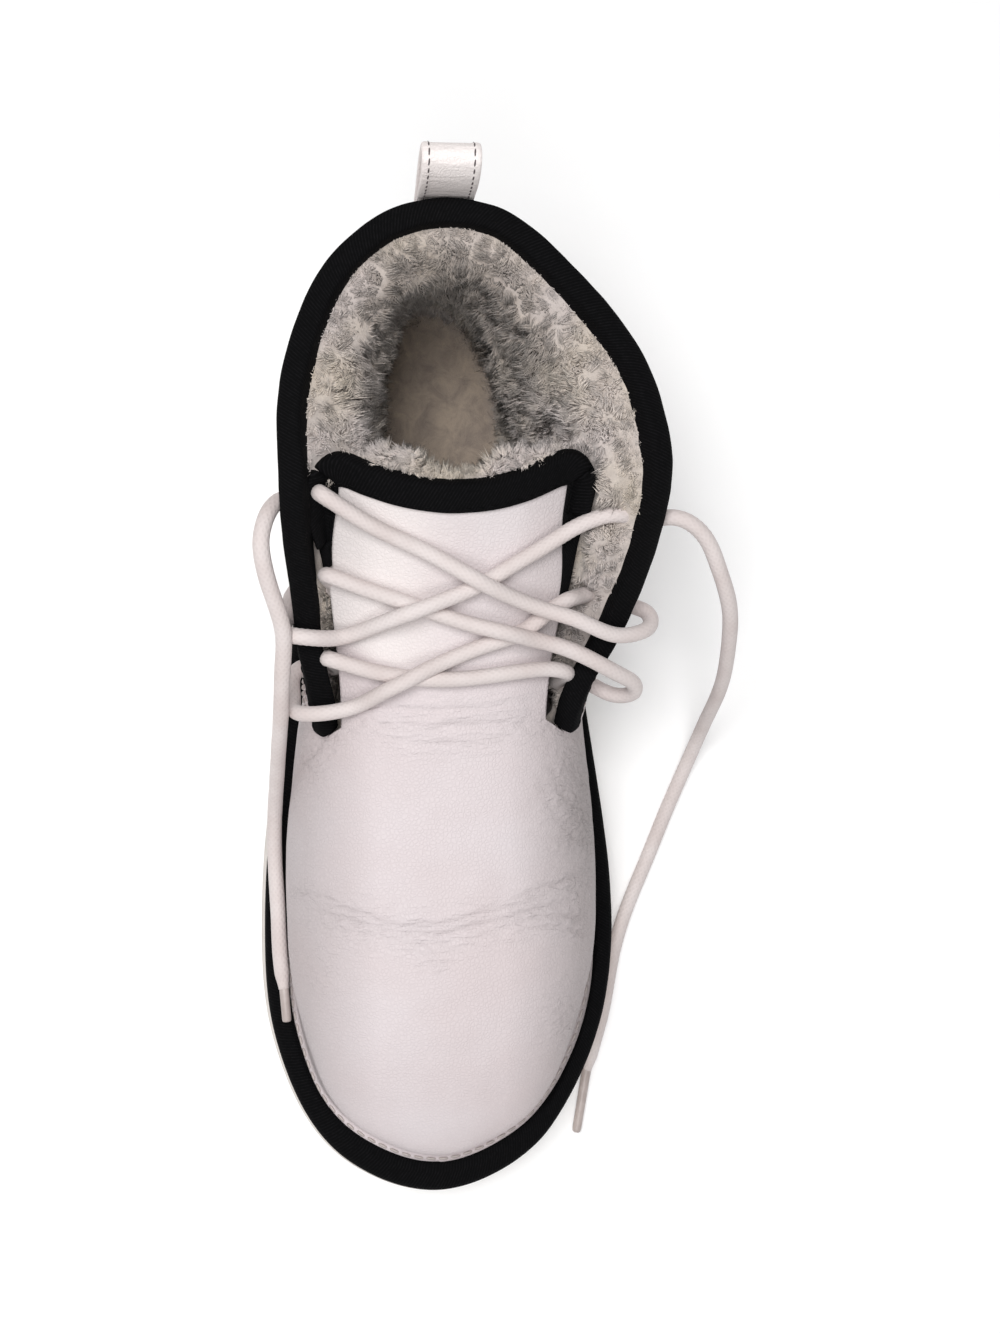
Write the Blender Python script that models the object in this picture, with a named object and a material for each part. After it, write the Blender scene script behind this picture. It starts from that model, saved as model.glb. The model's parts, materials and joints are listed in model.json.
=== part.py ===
"""Ankle boot for the left foot: leather upper with bound edges, rubber sole, round laces.

+Z is up, the toe points to -Y and the outer side of the foot to +X. The tables are drawn in
millimetres for the size below, and a change of a driving dimension stretches them. They lie
about the sole's middle line, and every object is placed so that the origin is on the floor
under the middle of the boot's box, free ends of the lace left out.
"""

import math

import bmesh
import bpy
import numpy as np
from mathutils import Matrix, Vector

MM = 0.001

# Driving dimensions, in metres.
LENGTH = 0.290          # outsole, toe to heel
BALL_WIDTH = 0.110      # outsole, across the ball
INSTEP_HEIGHT = 0.0875  # floor to the foot of the tongue
COLLAR_HEIGHT = 0.1265  # floor to the back of the collar

LONG = LENGTH / 0.290
WIDE = BALL_WIDTH / 0.110
HIGH = COLLAR_HEIGHT / 0.1265
LOW = INSTEP_HEIGHT / 0.0875

BOX_MIDDLE_X = 0.0035 * WIDE   # the lace's loops stand out further on the outer side

# Walls, tapes and gaps.
GAP = 0.0003            # between neighbouring pieces
WALL = 0.0030           # vamp, leather and backing
OVERLAY = 0.0012        # how far the quarters stand over the vamp
TAPE = 0.0010           # woven binding tape
RING_TAPE = 0.0012      # tape round the flange at the sole
SOLE_FLARE = 0.0011     # how far the outsole passes the ring
PLATEAU = 0.0015        # step in the outsole that carries the flange
INSOLE_THICK = 0.0075
INSOLE_SEAT = 0.0011    # clearance under the insole, over the sole's flat facets
TONGUE_WALL = 0.0030
LACE = 0.0046           # lace diameter
TIP = 0.0038            # diameter of a lace tip

# Plan outline of the bound ring on the sole: station, inner side, outer side.
OUTLINE = (
    (-137.6, -22.3, 21.3),
    (-130.3, -32.2, 31.5),
    (-121.0, -39.4, 39.0),
    (-107.0, -45.8, 46.9),
    (-90.0, -50.3, 52.9),
    (-68.0, -51.7, 55.9),
    (-45.0, -50.9, 55.3),
    (-20.0, -48.2, 52.3),
    (12.0, -43.8, 47.8),
    (45.0, -40.6, 44.2),
    (78.0, -39.4, 41.6),
    (104.0, -37.4, 38.0),
    (121.0, -32.4, 32.4),
    (135.0, -22.0, 21.8),
)
TOE_TIP = (-0.6, -143.9)
HEEL_TIP = (-0.4, 143.9)

# Top of the outsole: station, height.
SOLE_TOP = (
    (-145.0, 21.8),
    (-122.0, 18.6),
    (-98.0, 17.0),
    (-60.0, 16.4),
    (-20.0, 17.6),
    (20.0, 19.8),
    (60.0, 22.2),
    (100.0, 24.0),
    (145.0, 25.0),
)
TOE_SPRING = 0.0085
HEEL_BEVEL = 0.0025
ARCH_RISE = 0.0022

# Widest line of the upper: station, overhang past the seam on each side, height.
BULGE = (
    (-133.0, -0.4, -0.4, 33.0),
    (-115.0, -1.0, -1.2, 36.0),
    (-95.0, -0.2, -1.2, 39.0),
    (-75.0, 1.6, -0.4, 42.0),
    (-50.0, 2.9, -0.2, 44.0),
    (-24.0, 3.8, 1.2, 46.0),
    (-4.0, 4.0, 1.8, 47.5),
    (20.0, 2.8, 1.6, 50.0),
    (60.0, 1.6, 1.2, 53.0),
    (100.0, 0.8, 0.8, 56.0),
    (135.0, 0.2, 0.2, 58.0),
)

# Line over the top of the vamp, and where it would go past the toe: station, height.
RIDGE = (
    (-144.0, 51.0),
    (-120.0, 57.5),
    (-95.0, 63.5),
    (-70.0, 68.5),
    (-45.0, 73.5),
    (-20.0, 80.5),
    (2.0, 87.5),
    (20.0, 94.0),
)

# Upper edge of the quarters: station, inner side, outer side, height.
RIM = (
    (3.0, -36.2, 37.3, 79.0),
    (16.0, -39.8, 44.6, 86.5),
    (29.0, -41.6, 50.2, 96.0),
    (42.0, -43.8, 54.0, 106.5),
    (53.0, -44.6, 55.6, 115.5),
    (62.0, -45.1, 55.6, 120.3),
    (74.0, -45.2, 53.7, 121.8),
    (86.0, -43.6, 50.0, 121.6),
    (98.0, -40.0, 43.1, 121.6),
    (108.0, -35.6, 34.6, 122.2),
    (118.0, -27.6, 23.9, 124.2),
    (125.3, -17.0, 13.6, 125.8),
)
RIM_BACK = (-0.8, 128.6, 126.5)
STAND_LENGTH = 0.034    # along which the quarter turns from the vamp's crown to a standing wall

# How far the quarter's side falls inside a straight line at half height.
HOLLOW = (
    (-6.0, 0.5, 0.5),
    (25.0, 1.0, 1.0),
    (60.0, 2.5, 3.0),
    (95.0, 3.5, 3.5),
    (130.0, 2.0, 2.0),
)

# Sections: the toe and the heel are fans of planes, the rest are planes across the boot.
MIDDLE_X = -0.0008
TOE_CENTRE = -0.075 * LONG
THROAT_END = -0.008 * LONG   # where the facings end on the vamp
THROAT_RISE = 0.010          # how much further back the throat is at the middle
HEEL_CENTRE = 0.080 * LONG
TOE_COLUMNS, VAMP_COLUMNS, QUARTER_COLUMNS, HEEL_COLUMNS = 8, 8, 11, 7
QUARTER_CROWD = 0.45         # the quarter's columns stand closer near the throat
THROAT_PITCH = (HEEL_CENTRE - THROAT_END) * (1 - QUARTER_CROWD) / QUARTER_COLUMNS
AT_VAMP = TOE_COLUMNS
AT_THROAT = AT_VAMP + VAMP_COLUMNS
AT_HEEL = AT_THROAT + QUARTER_COLUMNS
AT_BACK = AT_HEEL + HEEL_COLUMNS

# Rows up a section: 0 flange edge, 1 flange, 2 root, 3 lower wall, 4 widest, then the
# turn of the vamp up to the rim's row and on to the ridge.
WIDEST, RIM_ROW, RIDGE_ROW = 4, 8, 13
QUARTER_SHARES = (0.0, 0.32, 0.62, 0.88, 1.0)
RIM_TURN = math.radians(39)
ACROSS_POWER, UP_POWER = 2.2, 2.0
SEAM_SWEEP = 4.8             # columns by which the quarter's seam runs back at the sole

# Holes for the lace: inner side and outer side, station of each pair.
EYELETS = ((12.0, 6.5), (33.0, 28.0), (54.5, 48.0))
EYELET_DROP = 0.0150         # below the quarter's edge
EYELET_RADIUS = 0.0029

# Grooves of the tread: station at the middle.
GROOVES = (-112.0, -94.0, -76.0, -58.0, -40.0, 74.0, 92.0, 110.0, 127.0)
GROOVE_WIDE, GROOVE_DEEP = 0.0035, 0.0025
GROOVE_EDGE = 0.0090         # rubber left between a groove and the sole's side
GROOVE_SWEEP = 0.0060        # how far the ends of a groove lie behind its middle

# Middle line of the pull loop: station, height, from low on the front leg to low on the rear.
PULL_LOOP = (
    (132.8, 97.0), (132.5, 108.0), (132.4, 118.0), (132.4, 126.0), (132.0, 132.0),
    (132.1, 138.0), (133.2, 143.0), (135.6, 146.0), (138.2, 144.8), (139.3, 140.6),
    (139.0, 134.0), (137.7, 126.5), (136.0, 118.0), (135.2, 110.0), (135.4, 97.0),
)
STRAP_WIDE, STRAP_THICK = 0.0155, 0.0020
STRAP_X = (-1.65, -2.70)     # middle of the strap at its foot and at its top
STRAP_HUG = 0.0010           # how far its edges bend forward round the heel, at its foot
STRAP_FREE = 0.6             # share of its rise above which it is flat
STRAP_EDGE = 0.6             # thickness of its edges as a share of its middle's

# Runs of the lace over the tongue: x, y, z before it; x, y, lift above it; x, y, z after it.
LACE_BAR = (
    ((-33.4, 12.8, 86.6),),
    ((-26.0, 10.3, 3.0), (-19.5, 8.4, 3.0), (-2.0, 6.2, 3.0), (21.0, 8.6, 3.1)),
    ((29.5, 9.2, 85.7), (33.8, 8.6, 82.2)),
)
LACE_FROM_INNER_LOW = (
    ((-42.9, 10.0, 69.8), (-43.4, 4.5, 71.6), (-43.0, -0.6, 75.2), (-40.4, -1.9, 79.2), (-35.6, -2.0, 81.8)),
    ((-27.5, -0.6, 3.0), (-18.5, 3.2, 5.8), (-14.0, 5.2, 6.7), (-8.5, 8.0, 5.4), (-2.0, 11.0, 3.2),
     (9.0, 15.2, 3.0), (21.0, 19.8, 3.0), (27.0, 24.4, 3.4)),
    ((32.4, 27.6, 95.2), (37.0, 29.4, 90.4), (40.2, 30.2, 86.4)),
)
LACE_FROM_INNER_HIGH = (
    ((-43.3, 31.0, 84.2), (-44.6, 26.0, 84.0), (-46.0, 21.5, 87.6), (-44.3, 18.9, 93.2), (-39.4, 18.0, 94.8)),
    ((-31.0, 18.3, 3.4), (-19.0, 21.5, 4.6), (-10.0, 24.2, 6.7), (-2.0, 27.2, 4.8), (7.5, 31.2, 3.0),
     (15.5, 35.8, 3.0), (25.5, 41.6, 3.4)),
    ((32.5, 45.8, 107.4), (38.7, 48.6, 107.2), (45.6, 49.6, 106.2)),
)
LACE_FROM_OUTER_LOW = (
    ((46.5, 4.2, 68.6), (50.6, 2.6, 71.0), (54.2, 3.2, 75.4), (53.6, 5.2, 79.6), (49.4, 7.2, 84.2), (44.0, 9.4, 88.2)),
    ((31.5, 14.6, 4.4), (22.0, 16.8, 5.6), (14.5, 18.2, 6.7), (7.0, 20.0, 5.0), (-2.4, 22.9, 3.0),
     (-14.6, 27.2, 3.0), (-27.5, 31.9, 3.1)),
    ((-34.4, 34.6, 98.8),),
)
LACE_FROM_OUTER_HIGH = (
    ((48.8, 28.6, 80.6), (53.2, 27.6, 80.8), (57.2, 25.4, 83.2), (57.4, 21.6, 87.0), (52.6, 18.6, 91.4), (46.6, 17.8, 94.2)),
    ((34.0, 21.8, 6.0), (26.0, 24.2, 6.9), (15.0, 27.8, 5.8), (7.0, 31.0, 6.7), (-6.5, 38.6, 3.0),
     (-21.5, 45.6, 3.2)),
    ((-31.0, 51.0, 113.2), (-36.4, 54.6, 113.4)),
)

# Free ends of the lace, from the top holes: x, y, z.
LACE_END_INNER = (
    (-44.6, 55.0, 102.4), (-47.3, 53.6, 106.1), (-49.7, 50.5, 108.9), (-51.3, 46.3, 110.4), (-52.0, 41.5, 110.4),
    (-51.5, 37.0, 108.8), (-50.1, 31.5, 105.6), (-46.3, 19.4, 97.6), (-46.4, 10.4, 90.9), (-46.8, 0.5, 81.5),
    (-47.4, -9.6, 66.0), (-48.0, -20.0, 47.0), (-48.6, -31.0, 33.0), (-48.6, -42.6, 26.6), (-47.9, -57.7, 25.8),
    (-47.3, -73.4, 25.8), (-46.4, -82.0, 25.9),
)
LACE_TIP_INNER = ((-46.3, -82.6, 25.9), (-45.6, -92.0, 25.9))
LACE_END_OUTER = (
    (53.2, 47.6, 98.5), (57.0, 49.0, 104.0), (61.0, 48.9, 106.6), (67.2, 46.1, 106.0), (74.2, 36.7, 100.0),
    (79.6, 26.9, 90.0), (83.0, 17.3, 75.0), (85.6, 7.5, 55.0), (86.8, -1.3, 30.0), (86.6, -9.7, 11.0),
    (84.6, -16.5, 4.8), (81.6, -23.5, 2.9), (77.0, -33.5, 2.6), (71.6, -45.7, 2.5), (63.7, -63.4, 2.5),
    (59.2, -77.6, 2.5), (55.9, -93.3, 2.5), (52.1, -105.8, 2.5), (49.9, -112.8, 2.5),
)
LACE_TIP_OUTER = ((49.75, -113.3, 2.5), (46.0, -132.2, 2.5))
RUN_PITCH, END_PITCH = 0.0070, 0.0105    # between rings of a run and of a free end
CORD_ROUNDNESS = 2                       # points of a quarter turn, less two
TONGUE_PLAN = (0.036, 0.058)             # the tongue's half width and length, seen from above

LEATHER = (0.80, 0.76, 0.77)
TAPE_BLACK = (0.012, 0.012, 0.014)
SOLE_WHITE = (0.74, 0.72, 0.68)
LACE_WHITE = (0.74, 0.68, 0.67)
FLEECE = (0.50, 0.44, 0.38)


# ---------------------------------------------------------------- curves and tables

class Smooth:
    """A natural cubic spline with one or more values at each knot."""

    def __init__(self, knots, values):
        self.knots = np.array(knots, float)
        self.values = np.array(values, float).reshape(len(self.knots), -1)
        step = np.diff(self.knots)
        slope = np.diff(self.values, axis=0) / step[:, None]
        system = np.eye(len(self.knots))
        right = np.zeros_like(self.values)
        for i in range(1, len(self.knots) - 1):
            system[i, i - 1:i + 2] = step[i - 1], 2 * (step[i - 1] + step[i]), step[i]
            right[i] = 6 * (slope[i] - slope[i - 1])
        self.bend = np.linalg.solve(system, right)

    def __call__(self, at):
        at = min(max(at, self.knots[0]), self.knots[-1])
        i = min(max(int(np.searchsorted(self.knots, at)) - 1, 0), len(self.knots) - 2)
        width = self.knots[i + 1] - self.knots[i]
        b = (at - self.knots[i]) / width
        a = 1 - b
        level = a * self.values[i] + b * self.values[i + 1]
        curved = (a ** 3 - a) * self.bend[i] + (b ** 3 - b) * self.bend[i + 1]
        return level + curved * width * width / 6


def smooth_path(points, count, closed=False):
    """Points evenly spaced in chord length on a smooth curve through the given ones."""
    points = np.array(points, float)
    if closed:
        points = np.vstack([points[-3:], points, points[:4]])
    chord = np.concatenate([[0], np.cumsum(np.linalg.norm(np.diff(points, axis=0), axis=1))])
    curve = Smooth(chord, points)
    first, last = (chord[3], chord[-4]) if closed else (chord[0], chord[-1])
    return np.array([curve(at) for at in np.linspace(first, last, count)])


def ease(x):
    """0 to 1 with level ends."""
    x = min(max(x, 0.0), 1.0)
    return x * x * (3 - 2 * x)


def around(rows, toe, heel):
    """A closed curve in plan from a table of stations, by way of its toe and heel points."""
    outer = [(row[2], row[0]) + tuple(row[3:]) for row in rows]
    inner = [(row[1], row[0]) + tuple(row[3:]) for row in reversed(rows)]
    return smooth_path([toe] + outer + [heel] + inner, 1200, closed=True)


def reach(curve, centre, direction):
    """How far from a centre, in plan, a ray meets a curve, and the curve's other values."""
    off = curve[:, :2] - centre
    across = off[:, 1] * direction[0] - off[:, 0] * direction[1]
    along = off @ direction
    meets = ((across[:-1] <= 0) != (across[1:] <= 0)) & (along[:-1] > 0)
    i = int(np.argmax(meets))
    share = across[i] / (across[i] - across[i + 1])
    found = curve[i] + share * (curve[i + 1] - curve[i])
    return [float((found[:2] - centre) @ direction)] + [float(v) for v in found[2:]]


STRETCH_PLAN = np.array([LONG, WIDE, WIDE]) * MM
STRETCH_FULL = np.array([LONG, WIDE, WIDE, HIGH]) * MM
TIP_PLAN = np.array([WIDE, LONG]) * MM

outline_curve = around(
    np.array(OUTLINE) * STRETCH_PLAN,
    tuple(TOE_TIP * TIP_PLAN),
    tuple(HEEL_TIP * TIP_PLAN),
)
sole_top_line = Smooth(*(np.array(SOLE_TOP).T * MM))
bulge_line = Smooth(np.array(BULGE)[:, 0] * LONG * MM, np.array(BULGE)[:, 1:] * MM)
ridge_line = Smooth(np.array(RIDGE)[:, 0] * LONG * MM, np.array(RIDGE)[:, 1] * LOW * MM)
hollow_line = Smooth(np.array(HOLLOW)[:, 0] * LONG * MM, np.array(HOLLOW)[:, 1:] * MM)


def sole_top(y):
    """Height of the outsole's edge, which carries the ring."""
    return float(sole_top_line(y)[0])


def sole_bottom(y):
    """Height of the tread: flat at the ball and the heel, raised at toe, arch and back."""
    toe = TOE_SPRING * max((-0.095 - y) / 0.050, 0) ** 1.8
    back = HEEL_BEVEL * max((y - 0.120) / 0.025, 0) ** 2
    arch = ARCH_RISE * math.sin(math.pi * min(max((y + 0.035) / 0.100, 0), 1)) ** 2
    return toe + back + arch


def ridge(y):
    return float(ridge_line(y)[0])


# ---------------------------------------------------------------- sections of the boot

def column(side, station):
    """Centre and outward direction, in plan, of a section. side is +1 on the outer side."""
    if station < AT_VAMP:
        turn = math.radians(90) * station / TOE_COLUMNS
        return np.array([MIDDLE_X, TOE_CENTRE]), np.array([side * math.sin(turn), -math.cos(turn)])
    if station > AT_HEEL:
        turn = math.radians(90) * (AT_BACK - station) / HEEL_COLUMNS
        return np.array([MIDDLE_X, HEEL_CENTRE]), np.array([side * math.sin(turn), math.cos(turn)])
    if station < AT_THROAT:
        y = TOE_CENTRE + (THROAT_END - TOE_CENTRE) * (station - AT_VAMP) / VAMP_COLUMNS
    else:
        share = (station - AT_THROAT) / QUARTER_COLUMNS
        crowded = (1 - QUARTER_CROWD) * share + QUARTER_CROWD * share * share
        y = THROAT_END + (HEEL_CENTRE - THROAT_END) * crowded
    return np.array([MIDDLE_X, y]), np.array([float(side), 0.0])


def all_columns():
    """Every section once round the boot, from the toe by the outer side to the heel and back."""
    outer = [(1, k) for k in range(AT_BACK + 1)]
    inner = [(-1, k) for k in range(AT_BACK - 1, 0, -1)]
    return outer + inner


def levels(side, station):
    """The named radii and heights of one section, from the ring inwards."""
    centre, direction = column(side, station)
    ring = reach(outline_curve, centre, direction)[0]
    foot = centre[1] + ring * direction[1]
    toe_share = ease((-foot - 0.115) / 0.029)
    lip = 0.0070 + 0.0017 * toe_share
    strip = 0.0015 + 0.0010 * toe_share
    seam = ring - lip - strip
    land = sole_top(foot)
    flange_top = land + GAP + RING_TAPE + GAP + WALL
    inner_side, outer_side, height = bulge_line(foot)
    widest = seam + (outer_side if side > 0 else inner_side)
    return {
        "centre": centre, "direction": direction, "foot": foot, "ring": ring, "lip": lip,
        "seam": seam, "land": land, "flange_top": flange_top,
        "flange": ring - RING_TAPE - GAP, "widest": widest, "widest_height": height,
    }


def dome(at, turn):
    """Radius and height on the vamp's crown: turn 0 is the widest line, 90 degrees the ridge."""
    radius = at["widest"] * max(math.cos(turn), 0.0) ** (2 / ACROSS_POWER)
    y = at["centre"][1] + radius * at["direction"][1]
    rise = ridge(y) - at["widest_height"]
    return radius, at["widest_height"] + rise * math.sin(turn) ** (2 / UP_POWER)


def rim_start(side):
    at = levels(side, AT_THROAT)
    radius, height = dome(at, RIM_TURN)
    return MIDDLE_X + side * radius, float(at["centre"][1]), height


rim_rows = np.array(RIM) * STRETCH_FULL
rim_curve = smooth_path(
    [rim_start(1)] + [(row[2], row[0], row[3]) for row in rim_rows]
    + [tuple(np.array(RIM_BACK) * [WIDE * MM, LONG * MM, HIGH * MM])]
    + [(row[1], row[0], row[3]) for row in reversed(rim_rows)] + [rim_start(-1)],
    1200,
)


def quarter(at, side, share):
    """Radius and height on the quarter, from its widest line at 0 to its rim at 1."""
    radius, height = reach(rim_curve, at["centre"], at["direction"])
    turn = share * RIM_TURN
    in_dome = (1 - math.cos(turn) ** (2 / ACROSS_POWER)) / (1 - math.cos(RIM_TURN) ** (2 / ACROSS_POWER))
    up_dome = math.sin(turn) ** (2 / UP_POWER) / math.sin(RIM_TURN) ** (2 / UP_POWER)
    hollow = float(hollow_line(at["foot"])[0 if side < 0 else 1])
    stand = ease((at["foot"] - THROAT_END) / STAND_LENGTH)
    inward = (1 - stand) * in_dome + stand * share ** 1.3
    upward = (1 - stand) * up_dome + stand * share
    r = at["widest"] + (radius - at["widest"]) * inward - stand * hollow * math.sin(math.pi * share)
    return r, at["widest_height"] + (height - at["widest_height"]) * upward


def on_section(side, station, row):
    """A point of the upper's base surface at a section and a row, both of which may be fractions."""
    at = levels(side, station)
    if row < WIDEST:
        low = at["flange_top"]
        high = at["widest_height"]
        marks = (
            (at["flange"], low),
            (at["seam"] + 0.0013, low),
            (at["seam"] + 0.0001, low + 0.0012),
            (at["seam"] + 0.65 * (at["widest"] - at["seam"]), low + 0.48 * (high - low)),
            (at["widest"], high),
        )
        i = min(int(row), WIDEST - 1)
        part = row - i
        r = marks[i][0] + part * (marks[i + 1][0] - marks[i][0])
        z = marks[i][1] + part * (marks[i + 1][1] - marks[i][1])
    elif row <= RIM_ROW and station > AT_THROAT:
        place = row - WIDEST
        i = min(int(place), len(QUARTER_SHARES) - 2)
        share = QUARTER_SHARES[i] + (place - i) * (QUARTER_SHARES[i + 1] - QUARTER_SHARES[i])
        r, z = quarter(at, side, share)
    else:
        r, z = dome(at, turn_of(row))
    x, y = at["centre"] + r * at["direction"]
    return np.array([x, y, z])


def turn_of(row):
    """Angle round the crown for a row above the widest line."""
    if row <= RIM_ROW:
        place = max(row - WIDEST, 0)
        i = min(int(place), len(QUARTER_SHARES) - 2)
        share = QUARTER_SHARES[i] + (place - i) * (QUARTER_SHARES[i + 1] - QUARTER_SHARES[i])
        return share * RIM_TURN
    share = min((row - RIM_ROW) / (RIDGE_ROW - RIM_ROW), 1)
    return RIM_TURN + share * (math.radians(90) - RIM_TURN)


def swept(k, row):
    """The station that column k passes at a row: the quarter's seam runs back towards the sole,
    and the throat runs back towards the middle."""
    if row <= RIM_ROW:
        near = 1 - min(abs(k - AT_THROAT) / 8.0, 1)
        drop = 1 - ease((row - 2) / (RIM_ROW - 2))
        return k + SEAM_SWEEP * ease(near) * drop
    near = ease(1 - min((AT_THROAT - k) / VAMP_COLUMNS, 1)) if k >= AT_VAMP else 0
    share = math.cos(turn_of(row)) / math.cos(RIM_TURN)
    return k + near * (1 - share ** 2) * THROAT_RISE / THROAT_PITCH


def skin(side, station, row):
    """Point and outward normal of the upper's base surface."""
    point = on_section(side, station, row)
    if row >= RIDGE_ROW:
        slope = (ridge(point[1] + 0.002) - ridge(point[1] - 0.002)) / 0.004
        return point, np.array([0, -slope, 1]) / math.hypot(slope, 1)
    ds, dv = 0.15, 0.12
    along = on_section(side, station + ds, row) - on_section(side, station - ds, row)
    top = RIM_ROW if station > AT_THROAT and row <= RIM_ROW else RIDGE_ROW
    above = on_section(side, station, min(row + dv, top))
    below = on_section(side, station, max(row - dv, 0))
    normal = np.cross(along, above - below) * side
    return point, normal / np.linalg.norm(normal)


# ---------------------------------------------------------------- scene and mesh helpers

def clear_scene():
    for obj in list(bpy.data.objects):
        bpy.data.objects.remove(obj, do_unlink=True)


def collection(name):
    made = bpy.data.collections.new(name)
    bpy.context.scene.collection.children.link(made)
    return made


def material(name, colour, roughness):
    made = bpy.data.materials.new(name)
    made.use_nodes = True
    shader = made.node_tree.nodes["Principled BSDF"]
    shader.inputs["Base Color"].default_value = (*colour, 1)
    shader.inputs["Roughness"].default_value = roughness
    shader.inputs["Metallic"].default_value = 0.0
    return made


def mesh_object(name, points, faces, home, look):
    """A mesh object with coincident points joined, faces turned outwards and smooth shading."""
    mesh = bpy.data.meshes.new(name)
    work = bmesh.new()
    corners = [work.verts.new(tuple(point)) for point in points]
    for face in faces:
        work.faces.new([corners[i] for i in face])
    bmesh.ops.remove_doubles(work, verts=work.verts, dist=2e-6)
    bmesh.ops.dissolve_degenerate(work, edges=work.edges, dist=1e-7)
    bmesh.ops.recalc_face_normals(work, faces=work.faces)
    work.to_mesh(mesh)
    work.free()
    mesh.shade_smooth()
    mesh.set_sharp_from_angle(angle=math.radians(50))
    if look:
        mesh.materials.append(look)
    obj = bpy.data.objects.new(name, mesh)
    home.objects.link(obj)
    return obj


def split(a, b, c, d):
    """A quad as two triangles that share its corners a and c, so that neighbours stay parallel."""
    return [(a, b, c), (a, c, d)]


def loft(name, rings, home, look, closed=False, turned=()):
    """A solid through closed rings of equal count: capped at its ends, or closed on itself.
    turned lists the strips whose quads are split the other way."""
    size = len(rings[0])
    points = [point for ring in rings for point in ring]
    faces = []
    for i in range(len(rings) if closed else len(rings) - 1):
        a, b = i * size, ((i + 1) % len(rings)) * size
        for j in range(size):
            quad = (a + j, a + (j + 1) % size, b + (j + 1) % size, b + j)
            faces += split(*(quad[1:] + quad[:1])) if j in turned else split(*quad)
    if not closed:
        faces.append(tuple(range(size)))
        faces.append(tuple((len(rings) - 1) * size + j for j in reversed(range(size))))
    return mesh_object(name, points, faces, home, look)


# ---------------------------------------------------------------- the pieces

def rows_of(k, raised):
    """Rows that a column of the upper has: the quarters end at the rim."""
    return RIM_ROW if raised or k > AT_THROAT else RIDGE_ROW


def upper_columns():
    """Columns of the upper once round. The two at the quarter's seam are double: vamp, then quarter."""
    made = []
    for side, k in all_columns():
        pair = [False, True] if k == AT_THROAT else [k > AT_THROAT]
        if side < 0:
            pair.reverse()
        made += [(side, k, raised) for raised in pair]
    return made


def make_upper(home, look):
    """Vamp and quarters as one hollow wall, flanged at the sole and open at collar and throat."""
    points = []
    outer_ids = []
    inner_ids = []
    for side, k, raised in upper_columns():
        outer_ids.append([])
        inner_ids.append([])
        for row in range(rows_of(k, raised) + 1):
            point, normal = skin(side, swept(k, row), row)
            lift = OVERLAY if raised and row > 2 else 0.0
            outer_ids[-1].append(len(points))
            points.append(point + lift * normal)
            inward = np.array([0, 0, 1.0]) if row < 2 else normal
            inner_ids[-1].append(len(points))
            points.append(point - WALL * inward)
    faces = []
    count = len(outer_ids)
    for i in range(count):
        j = (i + 1) % count
        rows = min(len(outer_ids[i]), len(outer_ids[j])) - 1
        for ids in (outer_ids, inner_ids):
            for r in range(rows):
                faces += split(ids[i][r], ids[j][r], ids[j][r + 1], ids[i][r + 1])
        for r in (0, rows) if rows == RIM_ROW else (0,):
            faces += split(outer_ids[j][r], inner_ids[j][r], inner_ids[i][r], outer_ids[i][r])
    for i, (side, k, raised) in enumerate(upper_columns()):
        if k == AT_THROAT and not raised:
            faces += [
                (outer_ids[i][r], outer_ids[i][r + 1], inner_ids[i][r + 1], inner_ids[i][r])
                for r in range(RIM_ROW, RIDGE_ROW)
            ]
    return mesh_object("upper", points, faces, home, look)


def station_at(y):
    """The station whose section lies at this y, between the throat and the heel's fan."""
    share = (y - THROAT_END) / (HEEL_CENTRE - THROAT_END)
    straight = 1 - QUARTER_CROWD
    root = math.sqrt(straight * straight + 4 * QUARTER_CROWD * share)
    return AT_THROAT + QUARTER_COLUMNS * (root - straight) / (2 * QUARTER_CROWD)


def on_facing(side, station, drop):
    """Point and outward normal of the quarter, this far below its edge."""
    rim = on_section(side, station, RIM_ROW)
    row = RIM_ROW
    while np.linalg.norm(on_section(side, station, row) - rim) < drop:
        row -= 0.02
    return skin(side, station, row)


def cutter(name, points, faces, home):
    """A helper mesh for a Boolean, kept out of the render and drawn as wire."""
    obj = mesh_object(name, points, faces, home, None)
    obj.hide_render = True
    obj.display_type = "WIRE"
    return obj


def prism(outline, low, high):
    """Points and faces of an upright prism over a plan outline."""
    count = len(outline)
    points = [(x, y, low) for x, y in outline] + [(x, y, high) for x, y in outline]
    faces = [tuple(reversed(range(count))), tuple(range(count, 2 * count))]
    faces += [(i, (i + 1) % count, count + (i + 1) % count, count + i) for i in range(count)]
    return points, faces


def cut(obj, tool):
    step = obj.modifiers.new("cut", "BOOLEAN")
    step.operation = "DIFFERENCE"
    step.solver = "EXACT"
    step.object = tool


def punch_eyelets(upper, helpers):
    """Six round holes through the quarters' facings."""
    tools = bmesh.new()
    for pair in EYELETS:
        for side, y in zip((-1, 1), pair):
            point, normal = on_facing(side, station_at(y * LONG * MM), EYELET_DROP)
            turn = Vector(normal).to_track_quat("Z", "Y").to_matrix().to_4x4()
            bmesh.ops.create_cone(
                tools, cap_ends=True, segments=10, radius1=EYELET_RADIUS, radius2=EYELET_RADIUS,
                depth=0.016, matrix=Matrix.Translation(point) @ turn,
            )
    mesh = bpy.data.meshes.new("eyelet_cutter")
    tools.to_mesh(mesh)
    tools.free()
    tool = bpy.data.objects.new("eyelet_cutter", mesh)
    helpers.objects.link(tool)
    tool.hide_render = True
    tool.display_type = "WIRE"
    cut(upper, tool)


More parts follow.
